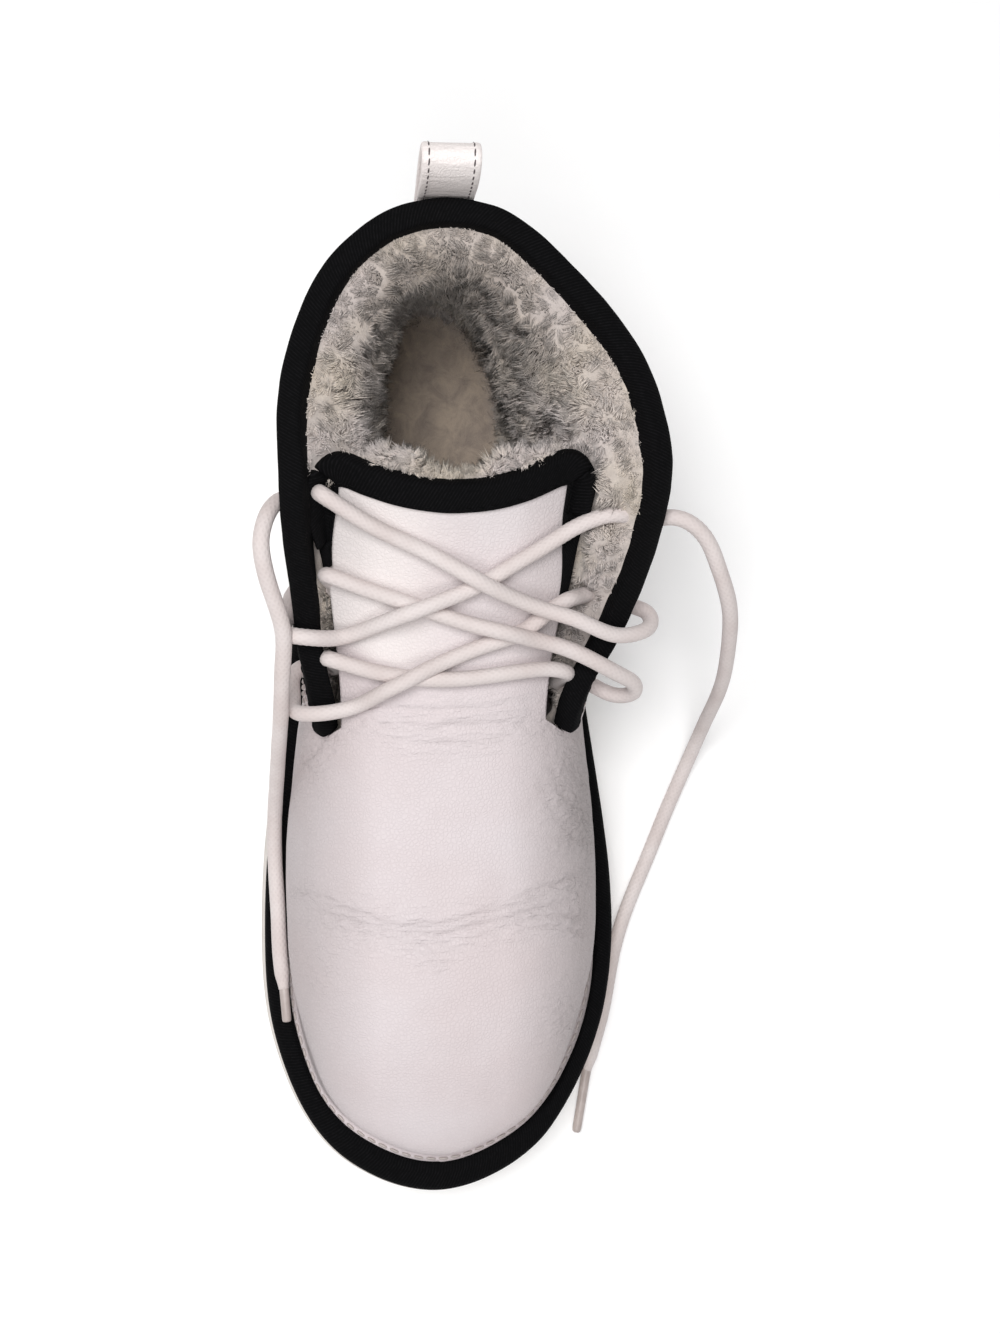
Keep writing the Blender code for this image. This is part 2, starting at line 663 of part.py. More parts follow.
def cut_tread(outsole, helpers):
    """Shallow swept grooves across the forefoot and the heel, which leave lugs between them."""
    points = []
    faces = []
    for y in GROOVES:
        y *= LONG * MM
        outer, inner = (
            reach(outline_curve, np.array([MIDDLE_X, y]), np.array([side, 0.0]))[0] for side in (1.0, -1.0)
        )
        marks = (
            (MIDDLE_X - inner + GROOVE_EDGE, y + GROOVE_SWEEP), (MIDDLE_X, y),
            (MIDDLE_X + outer - GROOVE_EDGE, y + GROOVE_SWEEP),
        )
        half = 0.5 * GROOVE_WIDE
        outline = [(x, at - half) for x, at in marks] + [(x, at + half) for x, at in reversed(marks)]
        made, around_it = prism(outline, -0.005, sole_bottom(y + 0.5 * GROOVE_SWEEP) + GROOVE_DEEP)
        faces += [tuple(len(points) + i for i in face) for face in around_it]
        points += made
    cut(outsole, cutter("tread_cutter", points, faces, helpers))


def make_outsole(home, look):
    """Cupped rubber sole with a ledge for the ring, a groove round its side and a cut tread."""
    steps = (                # share of the height from the tread, and how far past the ring
        (0.0, -0.0006), (0.08, SOLE_FLARE), (0.42, 0.0008), (0.46, -0.0009),
        (0.54, -0.0009), (0.58, 0.0007), (0.92, 0.0009), (1.0, 0.0002),
    )
    rings = []
    for side, k in all_columns():
        at = levels(side, k)
        tread = sole_bottom(at["foot"])
        ledge = at["ring"] - at["lip"] - 0.0004
        inner = ledge - 0.0004

        def on_tread(r):
            return r, sole_bottom(at["centre"][1] + r * at["direction"][1])

        def on_top(r):
            return r, sole_top(at["centre"][1] + r * at["direction"][1]) + PLATEAU

        profile = [on_tread(0.0), on_tread(0.45 * at["ring"]), on_tread(0.80 * at["ring"])]
        profile += [(at["ring"] + out, tread + share * (at["land"] - tread)) for share, out in steps]
        profile += [(ledge, at["land"]), (inner, at["land"] + PLATEAU)]
        profile += [on_top(0.75 * inner), on_top(0.40 * inner), on_top(0.0)]
        rings.append([tuple(at["centre"] + r * at["direction"]) + (z,) for r, z in profile])
    return open_loft("outsole", rings, home, look)


def open_loft(name, rings, home, look):
    """A solid from sections that all start and end on the boot's middle line."""
    size = len(rings[0])
    points = [point for ring in rings for point in ring]
    faces = []
    for i in range(len(rings)):
        a, b = i * size, ((i + 1) % len(rings)) * size
        faces += [(a + j, b + j, b + j + 1, a + j + 1) for j in range(size - 1)]
    return mesh_object(name, points, faces, home, look)


def make_insole(home, look):
    """Footbed with a slightly raised edge, lying in the sole inside the flange."""
    rings = []
    for side, k in all_columns()[::2]:
        at = levels(side, k)
        edge = at["seam"] - 0.0050

        def base(r):
            return sole_top(at["centre"][1] + r * at["direction"][1]) + PLATEAU + INSOLE_SEAT

        profile = [(0.0, 0.0), (0.55 * edge, 0.0), (edge - 0.0008, 0.0), (edge, 0.0010)]
        profile += [(edge, INSOLE_THICK + 0.0012), (edge - 0.0040, INSOLE_THICK)]
        profile += [(0.55 * edge, INSOLE_THICK), (0.0, INSOLE_THICK)]
        rings.append([tuple(at["centre"] + r * at["direction"]) + (base(r) + z,) for r, z in profile])
    return open_loft("insole", rings, home, look)


def make_ring(home, look):
    """Woven tape folded round the flange of the upper, lying on the outsole."""
    rings = []
    for side, k in all_columns():
        at = levels(side, k)
        out = at["ring"]
        lip = out - at["lip"]
        slot = out - RING_TAPE
        low = at["land"] + GAP
        top = at["flange_top"] + GAP + RING_TAPE
        profile = (
            (lip, low), (out - 0.0003, low), (out, top - 0.0014),
            (out - 0.0012, top), (lip, top), (lip, top - RING_TAPE), (slot, top - RING_TAPE),
            (slot, low + RING_TAPE), (lip, low + RING_TAPE),
        )
        rings.append([tuple(at["centre"] + r * at["direction"]) + (z,) for r, z in profile])
    return loft("welt_binding", rings, home, look, closed=True)


def tape_section(rim, below, normal, low_normal, over, under, past):
    """A folded tape over an edge. over and under are the wall's two faces along the normals,
    below is the surface point under each leg's lower edge, past points beyond the edge."""
    mid = 0.5 * (rim + below)
    mid_normal = 0.5 * (normal + low_normal)
    outer = over + GAP
    inner = under - GAP
    return [
        below + (outer + 0.5 * TAPE) * low_normal,
        mid + (outer + TAPE) * mid_normal,
        rim + (outer + TAPE) * normal,
        rim + (outer + 0.4 * TAPE) * normal + (GAP + 0.9 * TAPE) * past,
        rim + 0.5 * (over + under) * normal + (GAP + 1.2 * TAPE) * past,
        rim + (inner - 0.4 * TAPE) * normal + (GAP + 0.9 * TAPE) * past,
        rim + (inner - TAPE) * normal,
        mid + (inner - TAPE) * mid_normal,
        below + (inner - 0.5 * TAPE) * low_normal,
        below + inner * low_normal,
        rim + inner * normal + GAP * past,
        rim + outer * normal + GAP * past,
        below + outer * low_normal,
    ]


COLLAR_TAPE_DEPTH = 0.0080
OUTER_LEG = 11               # strip of a tape's section that faces the wall's outer side


def rim_frame(side, k):
    """Rim point, the tape's lower edge, the normals there, and the direction past the edge."""
    rim, normal = skin(side, k, RIM_ROW)
    lower, low_normal = skin(side, swept(k, RIM_ROW - 1), RIM_ROW - 1)
    ahead = on_section(side, min(k + 0.2, AT_BACK), RIM_ROW) - on_section(side, k - 0.2, RIM_ROW)
    ahead /= np.linalg.norm(ahead)
    rise = rim - lower
    past = rise - (rise @ ahead) * ahead
    past -= (past @ normal) * normal
    drop = np.linalg.norm(past)
    past /= drop
    share = min(COLLAR_TAPE_DEPTH / drop, 1.0)
    below = rim + share * (lower - rim)
    return rim, below, normal, normal + share * (low_normal - normal), past


def make_collar_tape(home, look):
    """Tape over the whole edge of the quarters, from one end of the lacing to the other."""
    stations = [AT_THROAT + 0.3] + list(range(AT_THROAT + 1, AT_BACK + 1))
    route = [(1, k) for k in stations] + [(-1, k) for k in reversed(stations[:-1])]
    rings = []
    for side, k in route:
        rim, below, normal, low_normal, past = rim_frame(side, k)
        rings.append(tape_section(rim, below, normal, low_normal, OVERLAY, -WALL, past))
    return loft("collar_binding", rings, home, look, turned=(OUTER_LEG,))


# The tongue's top edge: middle, and how far the corners lie out, back and down.
TONGUE_BASE_HALF = 0.0290 * WIDE
TONGUE_TOP_HALF = 0.0361 * WIDE
TONGUE_TOP = np.array([-0.0003 * WIDE, 0.0566 * LONG, 0.1180 * HIGH])
TONGUE_CORNER_BACK = 0.0105
TONGUE_SKEW_BACK = 0.0010
TONGUE_CORNER_ROUND = 0.0035
TONGUE_CORNER_DROP = 0.0035


def tongue_at(a, b):
    """A point of the tongue's outer face: a from -1 to 1 across, b from 0 to 1 up."""
    side = 1 if a >= 0 else -1
    radius = abs(a) * TONGUE_BASE_HALF
    share = (radius / levels(side, AT_THROAT)["widest"]) ** (ACROSS_POWER / 2)
    rise = THROAT_RISE * (1 - (share / math.cos(RIM_TURN)) ** 2)
    at = levels(side, AT_THROAT + (rise + 0.0005) / THROAT_PITCH)
    share = (radius / at["widest"]) ** (ACROSS_POWER / 2)
    r, z = dome(at, math.acos(share))
    foot = np.array([MIDDLE_X + side * r, at["centre"][1], z])
    back = TONGUE_CORNER_BACK * a * a + TONGUE_SKEW_BACK * a * abs(a)
    back -= TONGUE_CORNER_ROUND * max((abs(a) - 0.75) / 0.25, 0) ** 2
    head = TONGUE_TOP + np.array([TONGUE_TOP_HALF * a, back, -TONGUE_CORNER_DROP * a * a])
    leave = 0.055 * np.array([0, 0.955, 0.30])
    arrive = 0.055 * np.array([0, 0.80, 0.60])
    cube, square = b ** 3, b ** 2
    start = (2 * cube - 3 * square + 1) * foot + (cube - 2 * square + b) * leave
    return start + (3 * square - 2 * cube) * head + (cube - square) * arrive


def tongue_skin(a, b):
    """Point and outward normal of the tongue."""
    across = tongue_at(min(a + 0.02, 1), b) - tongue_at(max(a - 0.02, -1), b)
    up = tongue_at(a, min(b + 0.02, 1)) - tongue_at(a, max(b - 0.02, 0))
    normal = np.cross(across, up)
    return tongue_at(a, b), normal / np.linalg.norm(normal)


def make_tongue(home, look):
    """Tongue that carries the vamp on upwards, as a curved plate."""
    wide = np.linspace(-1, 1, 13)
    high = np.linspace(0, 1, 9)
    points = []
    for thick in (0, TONGUE_WALL):
        for b in high:
            for a in wide:
                point, normal = tongue_skin(a, b)
                points.append(point - thick * normal)
    return mesh_object("tongue", points, plate_faces(len(wide), len(high)), home, look)


def plate_faces(wide, high):
    """Faces of a plate from two grids of points, the first over the second."""
    under = wide * high
    faces = []
    for j in range(high - 1):
        for i in range(wide - 1):
            a = j * wide + i
            quad = (a, a + 1, a + wide + 1, a + wide)
            faces += [quad, tuple(under + v for v in reversed(quad))]
    edge = [j * wide for j in range(high)]
    loops = (
        [range(wide - 1), 1, 0], [range(wide - 1), 1, (high - 1) * wide],
    )
    for steps, stride, start in loops:
        faces += [(start + s, start + s + stride, under + start + s + stride, under + start + s)
                  for s in steps]
    for column in (0, wide - 1):
        faces += [(v + column, v + wide + column, under + v + wide + column, under + v + column)
                  for v in edge[:-1]]
    return faces


def make_tongue_tape(home, look):
    """Tape over the tongue's top edge, wide at the top and narrow part-way down its sides."""
    side_in, top_in = 0.125, 0.145
    low, high = 0.60, 1 - top_in
    left = [(-1.0, b, -1 + side_in, b) for b in np.linspace(low, high, 4)]
    left.append((-1.0, 1.0, -1 + side_in, 1 - top_in))
    top = [(a, 1.0, a, 1 - top_in) for a in np.linspace(-1 + side_in, 1 - side_in, 11)]
    right = [(-a, b, -inset, below) for a, b, inset, below in reversed(left)]
    rings = []
    for a, b, inset, lower in left + top + right:
        rim, normal = tongue_skin(a, b)
        below, low_normal = tongue_skin(inset, lower)
        past = rim - below
        past -= (past @ normal) * normal
        past /= np.linalg.norm(past)
        rings.append(tape_section(rim, below, normal, low_normal, 0.0, -TONGUE_WALL, past))
    return loft("tongue_binding", rings, home, look)


def make_pull_loop(home, look):
    """Leather strap folded into a loop, both legs sewn to the back seam one over the other."""
    scale = np.array([LONG, HIGH]) * MM
    line = smooth_path(np.array(PULL_LOOP) * scale, 26)
    low, high = min(z for _, z in line), max(z for _, z in line)
    rings = []
    for i, (y, z) in enumerate(line):
        ahead = line[min(i + 1, len(line) - 1)] - line[max(i - 1, 0)]
        ahead /= np.linalg.norm(ahead)
        out = np.array([ahead[1], -ahead[0]])
        rise = (z - low) / (high - low)
        middle = (STRAP_X[0] + rise * (STRAP_X[1] - STRAP_X[0])) * MM
        hug = STRAP_HUG * (1 - ease(rise / STRAP_FREE))
        ring = []
        for thick, order in ((0.5, (-1, 0, 1)), (-0.5, (1, 0, -1))):
            for a in order:
                off = thick * STRAP_THICK * (STRAP_EDGE if abs(a) == 1 else 1)
                place = np.array([y, z]) + off * out - np.array([hug * a * a, 0])
                ring.append((middle + 0.5 * STRAP_WIDE * a, place[0], place[1]))
        rings.append(ring)
    return loft("pull_loop", rings, home, look)


def over_tongue(x, y, lift):
    """The point this far above the tongue's face, found by its place in plan."""
    half_width, length = TONGUE_PLAN
    a, b = x / half_width, 0.5
    for _ in range(14):
        off = np.array([x, y]) - tongue_at(a, b)[:2]
        a = min(max(a + off[0] / half_width, -1.1), 1.1)
        b = min(max(b + off[1] / length, 0.0), 1.0)
    point, normal = tongue_skin(a, b)
    return np.array([x, y, point[2]]) + [0, 0, lift / max(normal[2], 0.5)]


def lace_points(run):
    """Route points of one run of the lace, in metres."""
    scale = np.array([WIDE, LONG, HIGH]) * MM
    before, over, after = run
    points = [np.array(row) * scale for row in before]
    points += [over_tongue(x * WIDE * MM, y * LONG * MM, lift * MM) for x, y, lift in over]
    return points + [np.array(row) * scale for row in after]


def cord(name, points, pitch, diameter, home, look):
    """A tube with filled caps along a smooth curve through the given points."""
    length = float(np.linalg.norm(np.diff(np.array(points), axis=0), axis=1).sum())
    path = smooth_path(points, max(int(length / pitch) + 1, 2)) if len(points) > 2 else points
    data = bpy.data.curves.new(name, "CURVE")
    data.dimensions = "3D"
    data.bevel_depth = 0.5 * diameter
    data.bevel_resolution = CORD_ROUNDNESS
    data.use_fill_caps = True
    spline = data.splines.new("POLY")
    spline.points.add(len(path) - 1)
    for slot, place in zip(spline.points, path):
        slot.co = (*place, 1)
    data.materials.append(look)
    obj = bpy.data.objects.new(name, data)
    home.objects.link(obj)
    return obj


def tube(name, run, home, look):
    """One run of the lace as a closed mesh that a Boolean can join."""
    curve = cord(name + "_line", lace_points(run), RUN_PITCH, LACE, home, look)
    bpy.context.view_layer.update()
    ready = curve.evaluated_get(bpy.context.evaluated_depsgraph_get())
    mesh = bpy.data.meshes.new_from_object(ready)
    work = bmesh.new()
    work.from_mesh(mesh)
    bmesh.ops.remove_doubles(work, verts=work.verts, dist=1e-6)
    bmesh.ops.recalc_face_normals(work, faces=work.faces)
    work.to_mesh(mesh)
    work.free()
    mesh.name = name
    mesh.shade_smooth()
    obj = bpy.data.objects.new(name, mesh)
    obj.matrix_world = curve.matrix_world
    home.objects.link(obj)
    bpy.data.objects.remove(curve, do_unlink=True)
    return obj


def make_crossings(home, helpers, look):
    """The runs of the lace over the tongue, joined where one presses on the next."""
    joined = tube("lace_crossings", LACE_BAR, home, look)
    more = (LACE_FROM_INNER_LOW, LACE_FROM_OUTER_LOW, LACE_FROM_INNER_HIGH, LACE_FROM_OUTER_HIGH)
    for i, run in enumerate(more):
        other = tube(f"lace_run_{i + 2}", run, helpers, look)
        other.hide_render = True
        other.display_type = "WIRE"
        step = joined.modifiers.new("join", "BOOLEAN")
        step.operation = "UNION"
        step.solver = "EXACT"
        step.object = other
    return joined


def make_lace_ends(home, look, hard):
    """The free ends of the lace and their tips."""
    scale = np.array([WIDE, LONG, HIGH]) * MM
    for side, end, tip in (("medial", LACE_END_INNER, LACE_TIP_INNER), ("lateral", LACE_END_OUTER, LACE_TIP_OUTER)):
        cord("lace_end_" + side, np.array(end) * scale, END_PITCH, LACE, home, look)
        cord("lace_tip_" + side, np.array(tip) * scale, END_PITCH, TIP, home, hard)


def build():
    clear_scene()
    boot = collection("ankle_boot")
    helpers = collection("cutters")
    leather = material("white_leather", LEATHER, 0.5)
    tape = material("black_tape", TAPE_BLACK, 0.85)
    rubber = material("white_rubber", SOLE_WHITE, 0.6)
    fleece = material("fleece", FLEECE, 0.95)
    lace = material("white_lace", LACE_WHITE, 0.8)
    plastic = material("lace_tip_plastic", LACE_WHITE, 0.35)
    punch_eyelets(make_upper(boot, leather), helpers)
    cut_tread(make_outsole(boot, rubber), helpers)
    make_insole(boot, fleece)
    make_ring(boot, tape)
    make_collar_tape(boot, tape)
    make_tongue(boot, leather)
    make_tongue_tape(boot, tape)
    make_pull_loop(boot, leather)
    make_crossings(boot, helpers, lace)
    make_lace_ends(boot, lace, plastic)
    for obj in list(boot.objects) + list(helpers.objects):
        obj.location.x -= BOX_MIDDLE_X


build()
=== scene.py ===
# %% [markdown]
# # A low lace-up boot in white leather
# The boot is a chukka for the left foot: a soft white leather upper lined with sheepskin, black
# woven tape over every raw edge, a cupped rubber sole and a round lace that hangs open. This
# lesson dresses the plain solids of the CAD model. Every piece below is built again on the same
# curves, finer, and then gets the finish of the real material.

import json
import math

import bmesh
import bpy
import numpy as np
from mathutils import Matrix, Vector, kdtree, noise

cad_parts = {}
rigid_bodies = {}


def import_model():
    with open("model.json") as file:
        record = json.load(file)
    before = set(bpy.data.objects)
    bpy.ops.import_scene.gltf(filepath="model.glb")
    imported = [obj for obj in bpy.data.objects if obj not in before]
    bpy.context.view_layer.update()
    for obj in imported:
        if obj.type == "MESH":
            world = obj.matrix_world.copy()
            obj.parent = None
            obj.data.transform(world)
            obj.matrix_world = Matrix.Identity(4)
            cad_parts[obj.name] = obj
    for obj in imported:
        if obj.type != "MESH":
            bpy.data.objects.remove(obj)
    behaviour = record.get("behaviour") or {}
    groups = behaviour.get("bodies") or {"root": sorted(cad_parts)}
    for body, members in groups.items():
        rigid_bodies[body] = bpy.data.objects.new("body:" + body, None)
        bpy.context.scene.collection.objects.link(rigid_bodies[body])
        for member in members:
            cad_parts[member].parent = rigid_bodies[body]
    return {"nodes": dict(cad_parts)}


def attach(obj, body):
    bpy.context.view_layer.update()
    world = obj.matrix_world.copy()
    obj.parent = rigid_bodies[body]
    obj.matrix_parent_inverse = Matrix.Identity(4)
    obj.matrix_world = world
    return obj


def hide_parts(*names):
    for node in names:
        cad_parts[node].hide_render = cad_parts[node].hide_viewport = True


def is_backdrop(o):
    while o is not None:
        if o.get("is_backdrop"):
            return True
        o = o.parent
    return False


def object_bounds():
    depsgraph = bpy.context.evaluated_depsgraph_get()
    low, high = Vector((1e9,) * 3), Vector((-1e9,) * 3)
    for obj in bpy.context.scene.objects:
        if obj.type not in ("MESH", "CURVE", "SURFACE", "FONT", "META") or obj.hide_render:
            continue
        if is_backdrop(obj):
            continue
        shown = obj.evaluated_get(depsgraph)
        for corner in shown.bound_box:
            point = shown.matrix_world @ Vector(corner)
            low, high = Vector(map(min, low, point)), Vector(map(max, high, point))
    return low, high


for left_over in list(bpy.data.objects):
    bpy.data.objects.remove(left_over)
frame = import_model()
cad_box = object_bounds()
print("nodes in the frame:", sorted(frame["nodes"]))

# %% Units, colours and shader nodes
MM = 0.001
NOISE_SEED = 1795338869
noise.seed_set(NOISE_SEED)      # else noise_vector follows the clock, and the wool with it
SHIFT = np.array([-0.0035, 0.0, 0.0])    # from the sole's middle line to the middle of the box


def linear(code):
    """An sRGB hex colour as the linear values that a shader takes."""
    parts = [int(code[i:i + 2], 16) / 255 for i in (0, 2, 4)]
    return tuple(p / 12.92 if p <= 0.04045 else ((p + 0.055) / 1.055) ** 2.4
                 for p in parts) + (1.0,)


def add(tree, kind, settings=None, links=None, out=0):
    """Adds a node with its properties, sockets and links set, and gives one of its outputs."""
    made = tree.nodes.new("ShaderNode" + kind)
    for name, value in (settings or {}).items():
        if isinstance(name, int) or name in made.inputs:
            made.inputs[name].default_value = value
        else:
            setattr(made, name, value)
    for name, source in (links or {}).items():
        tree.links.new(source, made.inputs[name])
    return made.outputs[out]


def noise_at(tree, place, size, detail, out="Fac", **settings):
    """Noise with features of a given size in metres."""
    return add(tree, "TexNoise", {"Scale": 1 / size, "Detail": detail, **settings},
               {"Vector": place}, out)


def bands(tree, turn, radian, settings):
    """Bands across a strip's own UV, turned by some degrees; a wave's radian is given in metres."""
    uv = add(tree, "TexCoord", out="UV")
    turned = add(tree, "Mapping", {"Rotation": (0, 0, math.radians(turn))}, {"Vector": uv})
    settings = {"wave_type": "BANDS", "bands_direction": "X", "Scale": 0.05 / radian, **settings}
    return add(tree, "TexWave", settings, {"Vector": turned}, "Fac")


def levels(tree, value, low, high, to_low=0.0, to_high=1.0, **settings):
    """A value stretched from one range to another and held inside it."""
    ends = {"From Min": low, "From Max": high, "To Min": to_low, "To Max": to_high}
    return add(tree, "MapRange", {**ends, **settings}, {"Value": value})


def blend(tree, share, low, high, **settings):
    """A colour between two, each given as a hex code or as another node's output."""
    ends = {6: low, 7: high}
    plain = {i: linear(end) for i, end in ends.items() if isinstance(end, str)}
    linked = {i: end for i, end in ends.items() if i not in plain}
    return add(tree, "Mix", {"data_type": "RGBA", **settings, **plain}, {0: share, **linked}, 2)


def bump(tree, height, strength, distance, **onto):
    """Normals from a height, on top of another relief if one is given."""
    return add(tree, "Bump", {"Strength": strength, "Distance": distance},
               {"Height": height, **onto})


def attribute(tree, name):
    """The number that record_on keeps at the vertices."""
    return add(tree, "Attribute", {"attribute_name": name}, out="Fac")


def lead(tree, shader, **sources):
    """Links outputs to the shader's sockets."""
    for socket, source in sources.items():
        tree.links.new(source, shader.inputs[socket.replace("_", " ")])


def finish_of(name, **sockets):
    """A new material: itself, its node tree and its shader with plain sockets set."""
    made = bpy.data.materials.new(name)
    made.use_nodes = True
    shader = made.node_tree.nodes["Principled BSDF"]
    for socket, value in sockets.items():
        shader.inputs[socket.replace("_", " ")].default_value = value
    return made, made.node_tree, shader


# %% [markdown]
# ## The camera
# The boot is seen from above, a little in front of the ankle and from the inner side, as when
# it is picked up from the floor. The camera is made first.

# %% The camera
lens = bpy.data.cameras.new("view_from_above")
lens.sensor_width = 36.0
lens.lens = 52.0
camera = bpy.data.objects.new("view_from_above", lens)
bpy.context.scene.collection.objects.link(camera)
camera_place = Vector((-0.0577, -0.0358, 0.620))
aim = (Vector((0.0141, 0.0124, 0.060)) - camera_place).normalized()
right = aim.cross(Vector((0.0121, 0.9961, 0.0874))).normalized()
camera.matrix_world = Matrix.Translation(camera_place) @ Matrix(
    (right, right.cross(aim), -aim)).transposed().to_4x4()
bpy.context.scene.camera = camera
print("camera height above the floor: %.0f mm" % (camera_place.z / MM))


# %% [markdown]
# ## Smooth curves
# A bootmaker's patterns are drawn with a flexible strip of wood through a few pins. A natural
# cubic spline is that strip: it passes through every point and bends as little as it can. It is
# the same one that the solids were drawn with, so the pieces here land on them.

# %% Splines
class Spline:
    """A natural cubic spline with one or more values at each knot."""

    def __init__(self, knots, values):
        self.knots = np.array(knots, float)
        self.values = np.array(values, float).reshape(len(self.knots), -1)
        step = np.diff(self.knots)
        slope = np.diff(self.values, axis=0) / step[:, None]
        system = np.eye(len(self.knots))
        right_side = np.zeros_like(self.values)
        for i in range(1, len(self.knots) - 1):
            system[i, i - 1:i + 2] = step[i - 1], 2 * (step[i - 1] + step[i]), step[i]
            right_side[i] = 6 * (slope[i] - slope[i - 1])
        self.bend = np.linalg.solve(system, right_side)

    def __call__(self, at):
        at = np.clip(np.atleast_1d(at), self.knots[0], self.knots[-1])
        i = np.clip(np.searchsorted(self.knots, at) - 1, 0, len(self.knots) - 2)
        width = (self.knots[i + 1] - self.knots[i])[:, None]
        b = (at - self.knots[i])[:, None] / width
        a = 1 - b
        level = a * self.values[i] + b * self.values[i + 1]
        return level + ((a ** 3 - a) * self.bend[i]
                        + (b ** 3 - b) * self.bend[i + 1]) * width ** 2 / 6


def along(points):
    """Distance from the first point to each point, along straight lines."""
    return np.concatenate([[0], np.cumsum(np.linalg.norm(np.diff(points, axis=0), axis=1))])


def smooth_path(points, count, closed=False):
    """Points evenly spaced in chord length on a smooth curve through the given ones."""
    points = np.array(points, float)
    if closed:
        points = np.vstack([points[-3:], points, points[:4]])
    chord = along(points)
    first, last = (chord[3], chord[-4]) if closed else (chord[0], chord[-1])
    return Spline(chord, points)(np.linspace(first, last, count))


def ease(x):
    """0 to 1 with level ends."""
    x = np.clip(x, 0.0, 1.0)
    return x * x * (3 - 2 * x)


# %% [markdown]
# ## The lasted shape
# A boot takes its shape from the last, a wooden foot inside it. Here the last is a set of
# sections: a fan of planes round the toe, planes across the middle, and another fan round the
# heel. Each section is described by a few numbers that come from smooth curves: the outline of
# the sole, the widest line of the foot, the ridge over its top and the edge of the collar.

# %% The curves of the boot, in millimetres
OUTLINE = (               # bound edge on the sole: station, inner side, outer side
    (-137.6, -22.3, 21.3), (-130.3, -32.2, 31.5), (-121.0, -39.4, 39.0), (-107.0, -45.8, 46.9),
    (-90.0, -50.3, 52.9), (-68.0, -51.7, 55.9), (-45.0, -50.9, 55.3), (-20.0, -48.2, 52.3),
    (12.0, -43.8, 47.8), (45.0, -40.6, 44.2), (78.0, -39.4, 41.6), (104.0, -37.4, 38.0),
    (121.0, -32.4, 32.4), (135.0, -22.0, 21.8),
)
TOE_TIP, HEEL_TIP = (-0.6, -143.9), (-0.4, 143.9)
SOLE_TOP = (              # station, height
    (-145.0, 21.8), (-122.0, 18.6), (-98.0, 17.0), (-60.0, 16.4), (-20.0, 17.6),
    (20.0, 19.8), (60.0, 22.2), (100.0, 24.0), (145.0, 25.0),
)
BULGE = (                 # widest line: station, overhang on the inner and outer side, height
    (-133.0, -0.4, -0.4, 33.0), (-115.0, -1.0, -1.2, 36.0), (-95.0, -0.2, -1.2, 39.0),
    (-75.0, 1.6, -0.4, 42.0), (-50.0, 2.9, -0.2, 44.0), (-24.0, 3.8, 1.2, 46.0),
    (-4.0, 4.0, 1.8, 47.5), (20.0, 2.8, 1.6, 50.0), (60.0, 1.6, 1.2, 53.0),
    (100.0, 0.8, 0.8, 56.0), (135.0, 0.2, 0.2, 58.0),
)
RIDGE = (                 # station, height
    (-144.0, 51.0), (-120.0, 57.5), (-95.0, 63.5), (-70.0, 68.5),
    (-45.0, 73.5), (-20.0, 80.5), (2.0, 87.5), (20.0, 94.0),
)
RIM = (                   # edge of the collar: station, inner side, outer side, height
    (3.0, -36.2, 37.3, 79.0), (16.0, -39.8, 44.6, 86.5), (29.0, -41.6, 50.2, 96.0),
    (42.0, -43.8, 54.0, 106.5), (53.0, -44.6, 55.6, 115.5), (62.0, -45.1, 55.6, 120.3),
    (74.0, -45.2, 53.7, 121.8), (86.0, -43.6, 50.0, 121.6), (98.0, -40.0, 43.1, 121.6),
    (108.0, -35.6, 34.6, 122.2), (118.0, -27.6, 23.9, 124.2), (125.3, -17.0, 13.6, 125.8),
)
RIM_BACK = (-0.8, 128.6, 126.5)
HOLLOW = (                # how far the quarter's side falls in
    (-6.0, 0.5, 0.5), (25.0, 1.0, 1.0), (60.0, 2.5, 3.0), (95.0, 3.5, 3.5), (130.0, 2.0, 2.0),
)
MIDDLE_X, TOE_CENTRE, THROAT_END, HEEL_CENTRE = -0.0008, -0.075, -0.008, 0.080
GAP, WALL, OVERLAY, TAPE, RING_TAPE, PLATEAU = 0.0003, 0.0030, 0.0012, 0.0010, 0.0012, 0.0015
AT_VAMP, AT_THROAT, AT_HEEL, AT_BACK = 8, 16, 27, 34
RIM_ROW, RIDGE_ROW = 8, 13
RIM_TURN = math.radians(39)
THROAT_RISE, SEAM_SWEEP, STAND_LENGTH = 0.010, 4.8, 0.034
QUARTER_SHARES = (0.0, 0.32, 0.62, 0.88, 1.0)
ACROSS_POWER = 2.2
CROWD = 0.45
THROAT_PITCH = (HEEL_CENTRE - THROAT_END) * (1 - CROWD) / (AT_HEEL - AT_THROAT)


def around(rows, toe, heel):
    """A closed curve in plan from a table of stations, by way of its toe and heel points."""
    outer = [(row[2], row[0]) + tuple(row[3:]) for row in rows]
    inner = [(row[1], row[0]) + tuple(row[3:]) for row in reversed(rows)]
    return smooth_path([toe] + outer + [heel] + inner, 1200, closed=True)


outline_curve = around(np.array(OUTLINE) * MM, np.array(TOE_TIP) * MM, np.array(HEEL_TIP) * MM)
sole_top_line = Spline(*(np.array(SOLE_TOP).T * MM))
bulge_line = Spline(np.array(BULGE)[:, 0] * MM, np.array(BULGE)[:, 1:] * MM)
ridge_line = Spline(*(np.array(RIDGE).T * MM))
hollow_line = Spline(np.array(HOLLOW)[:, 0] * MM, np.array(HOLLOW)[:, 1:] * MM)
print("outline of the sole: %.0f mm round" % (along(outline_curve)[-1] / MM))


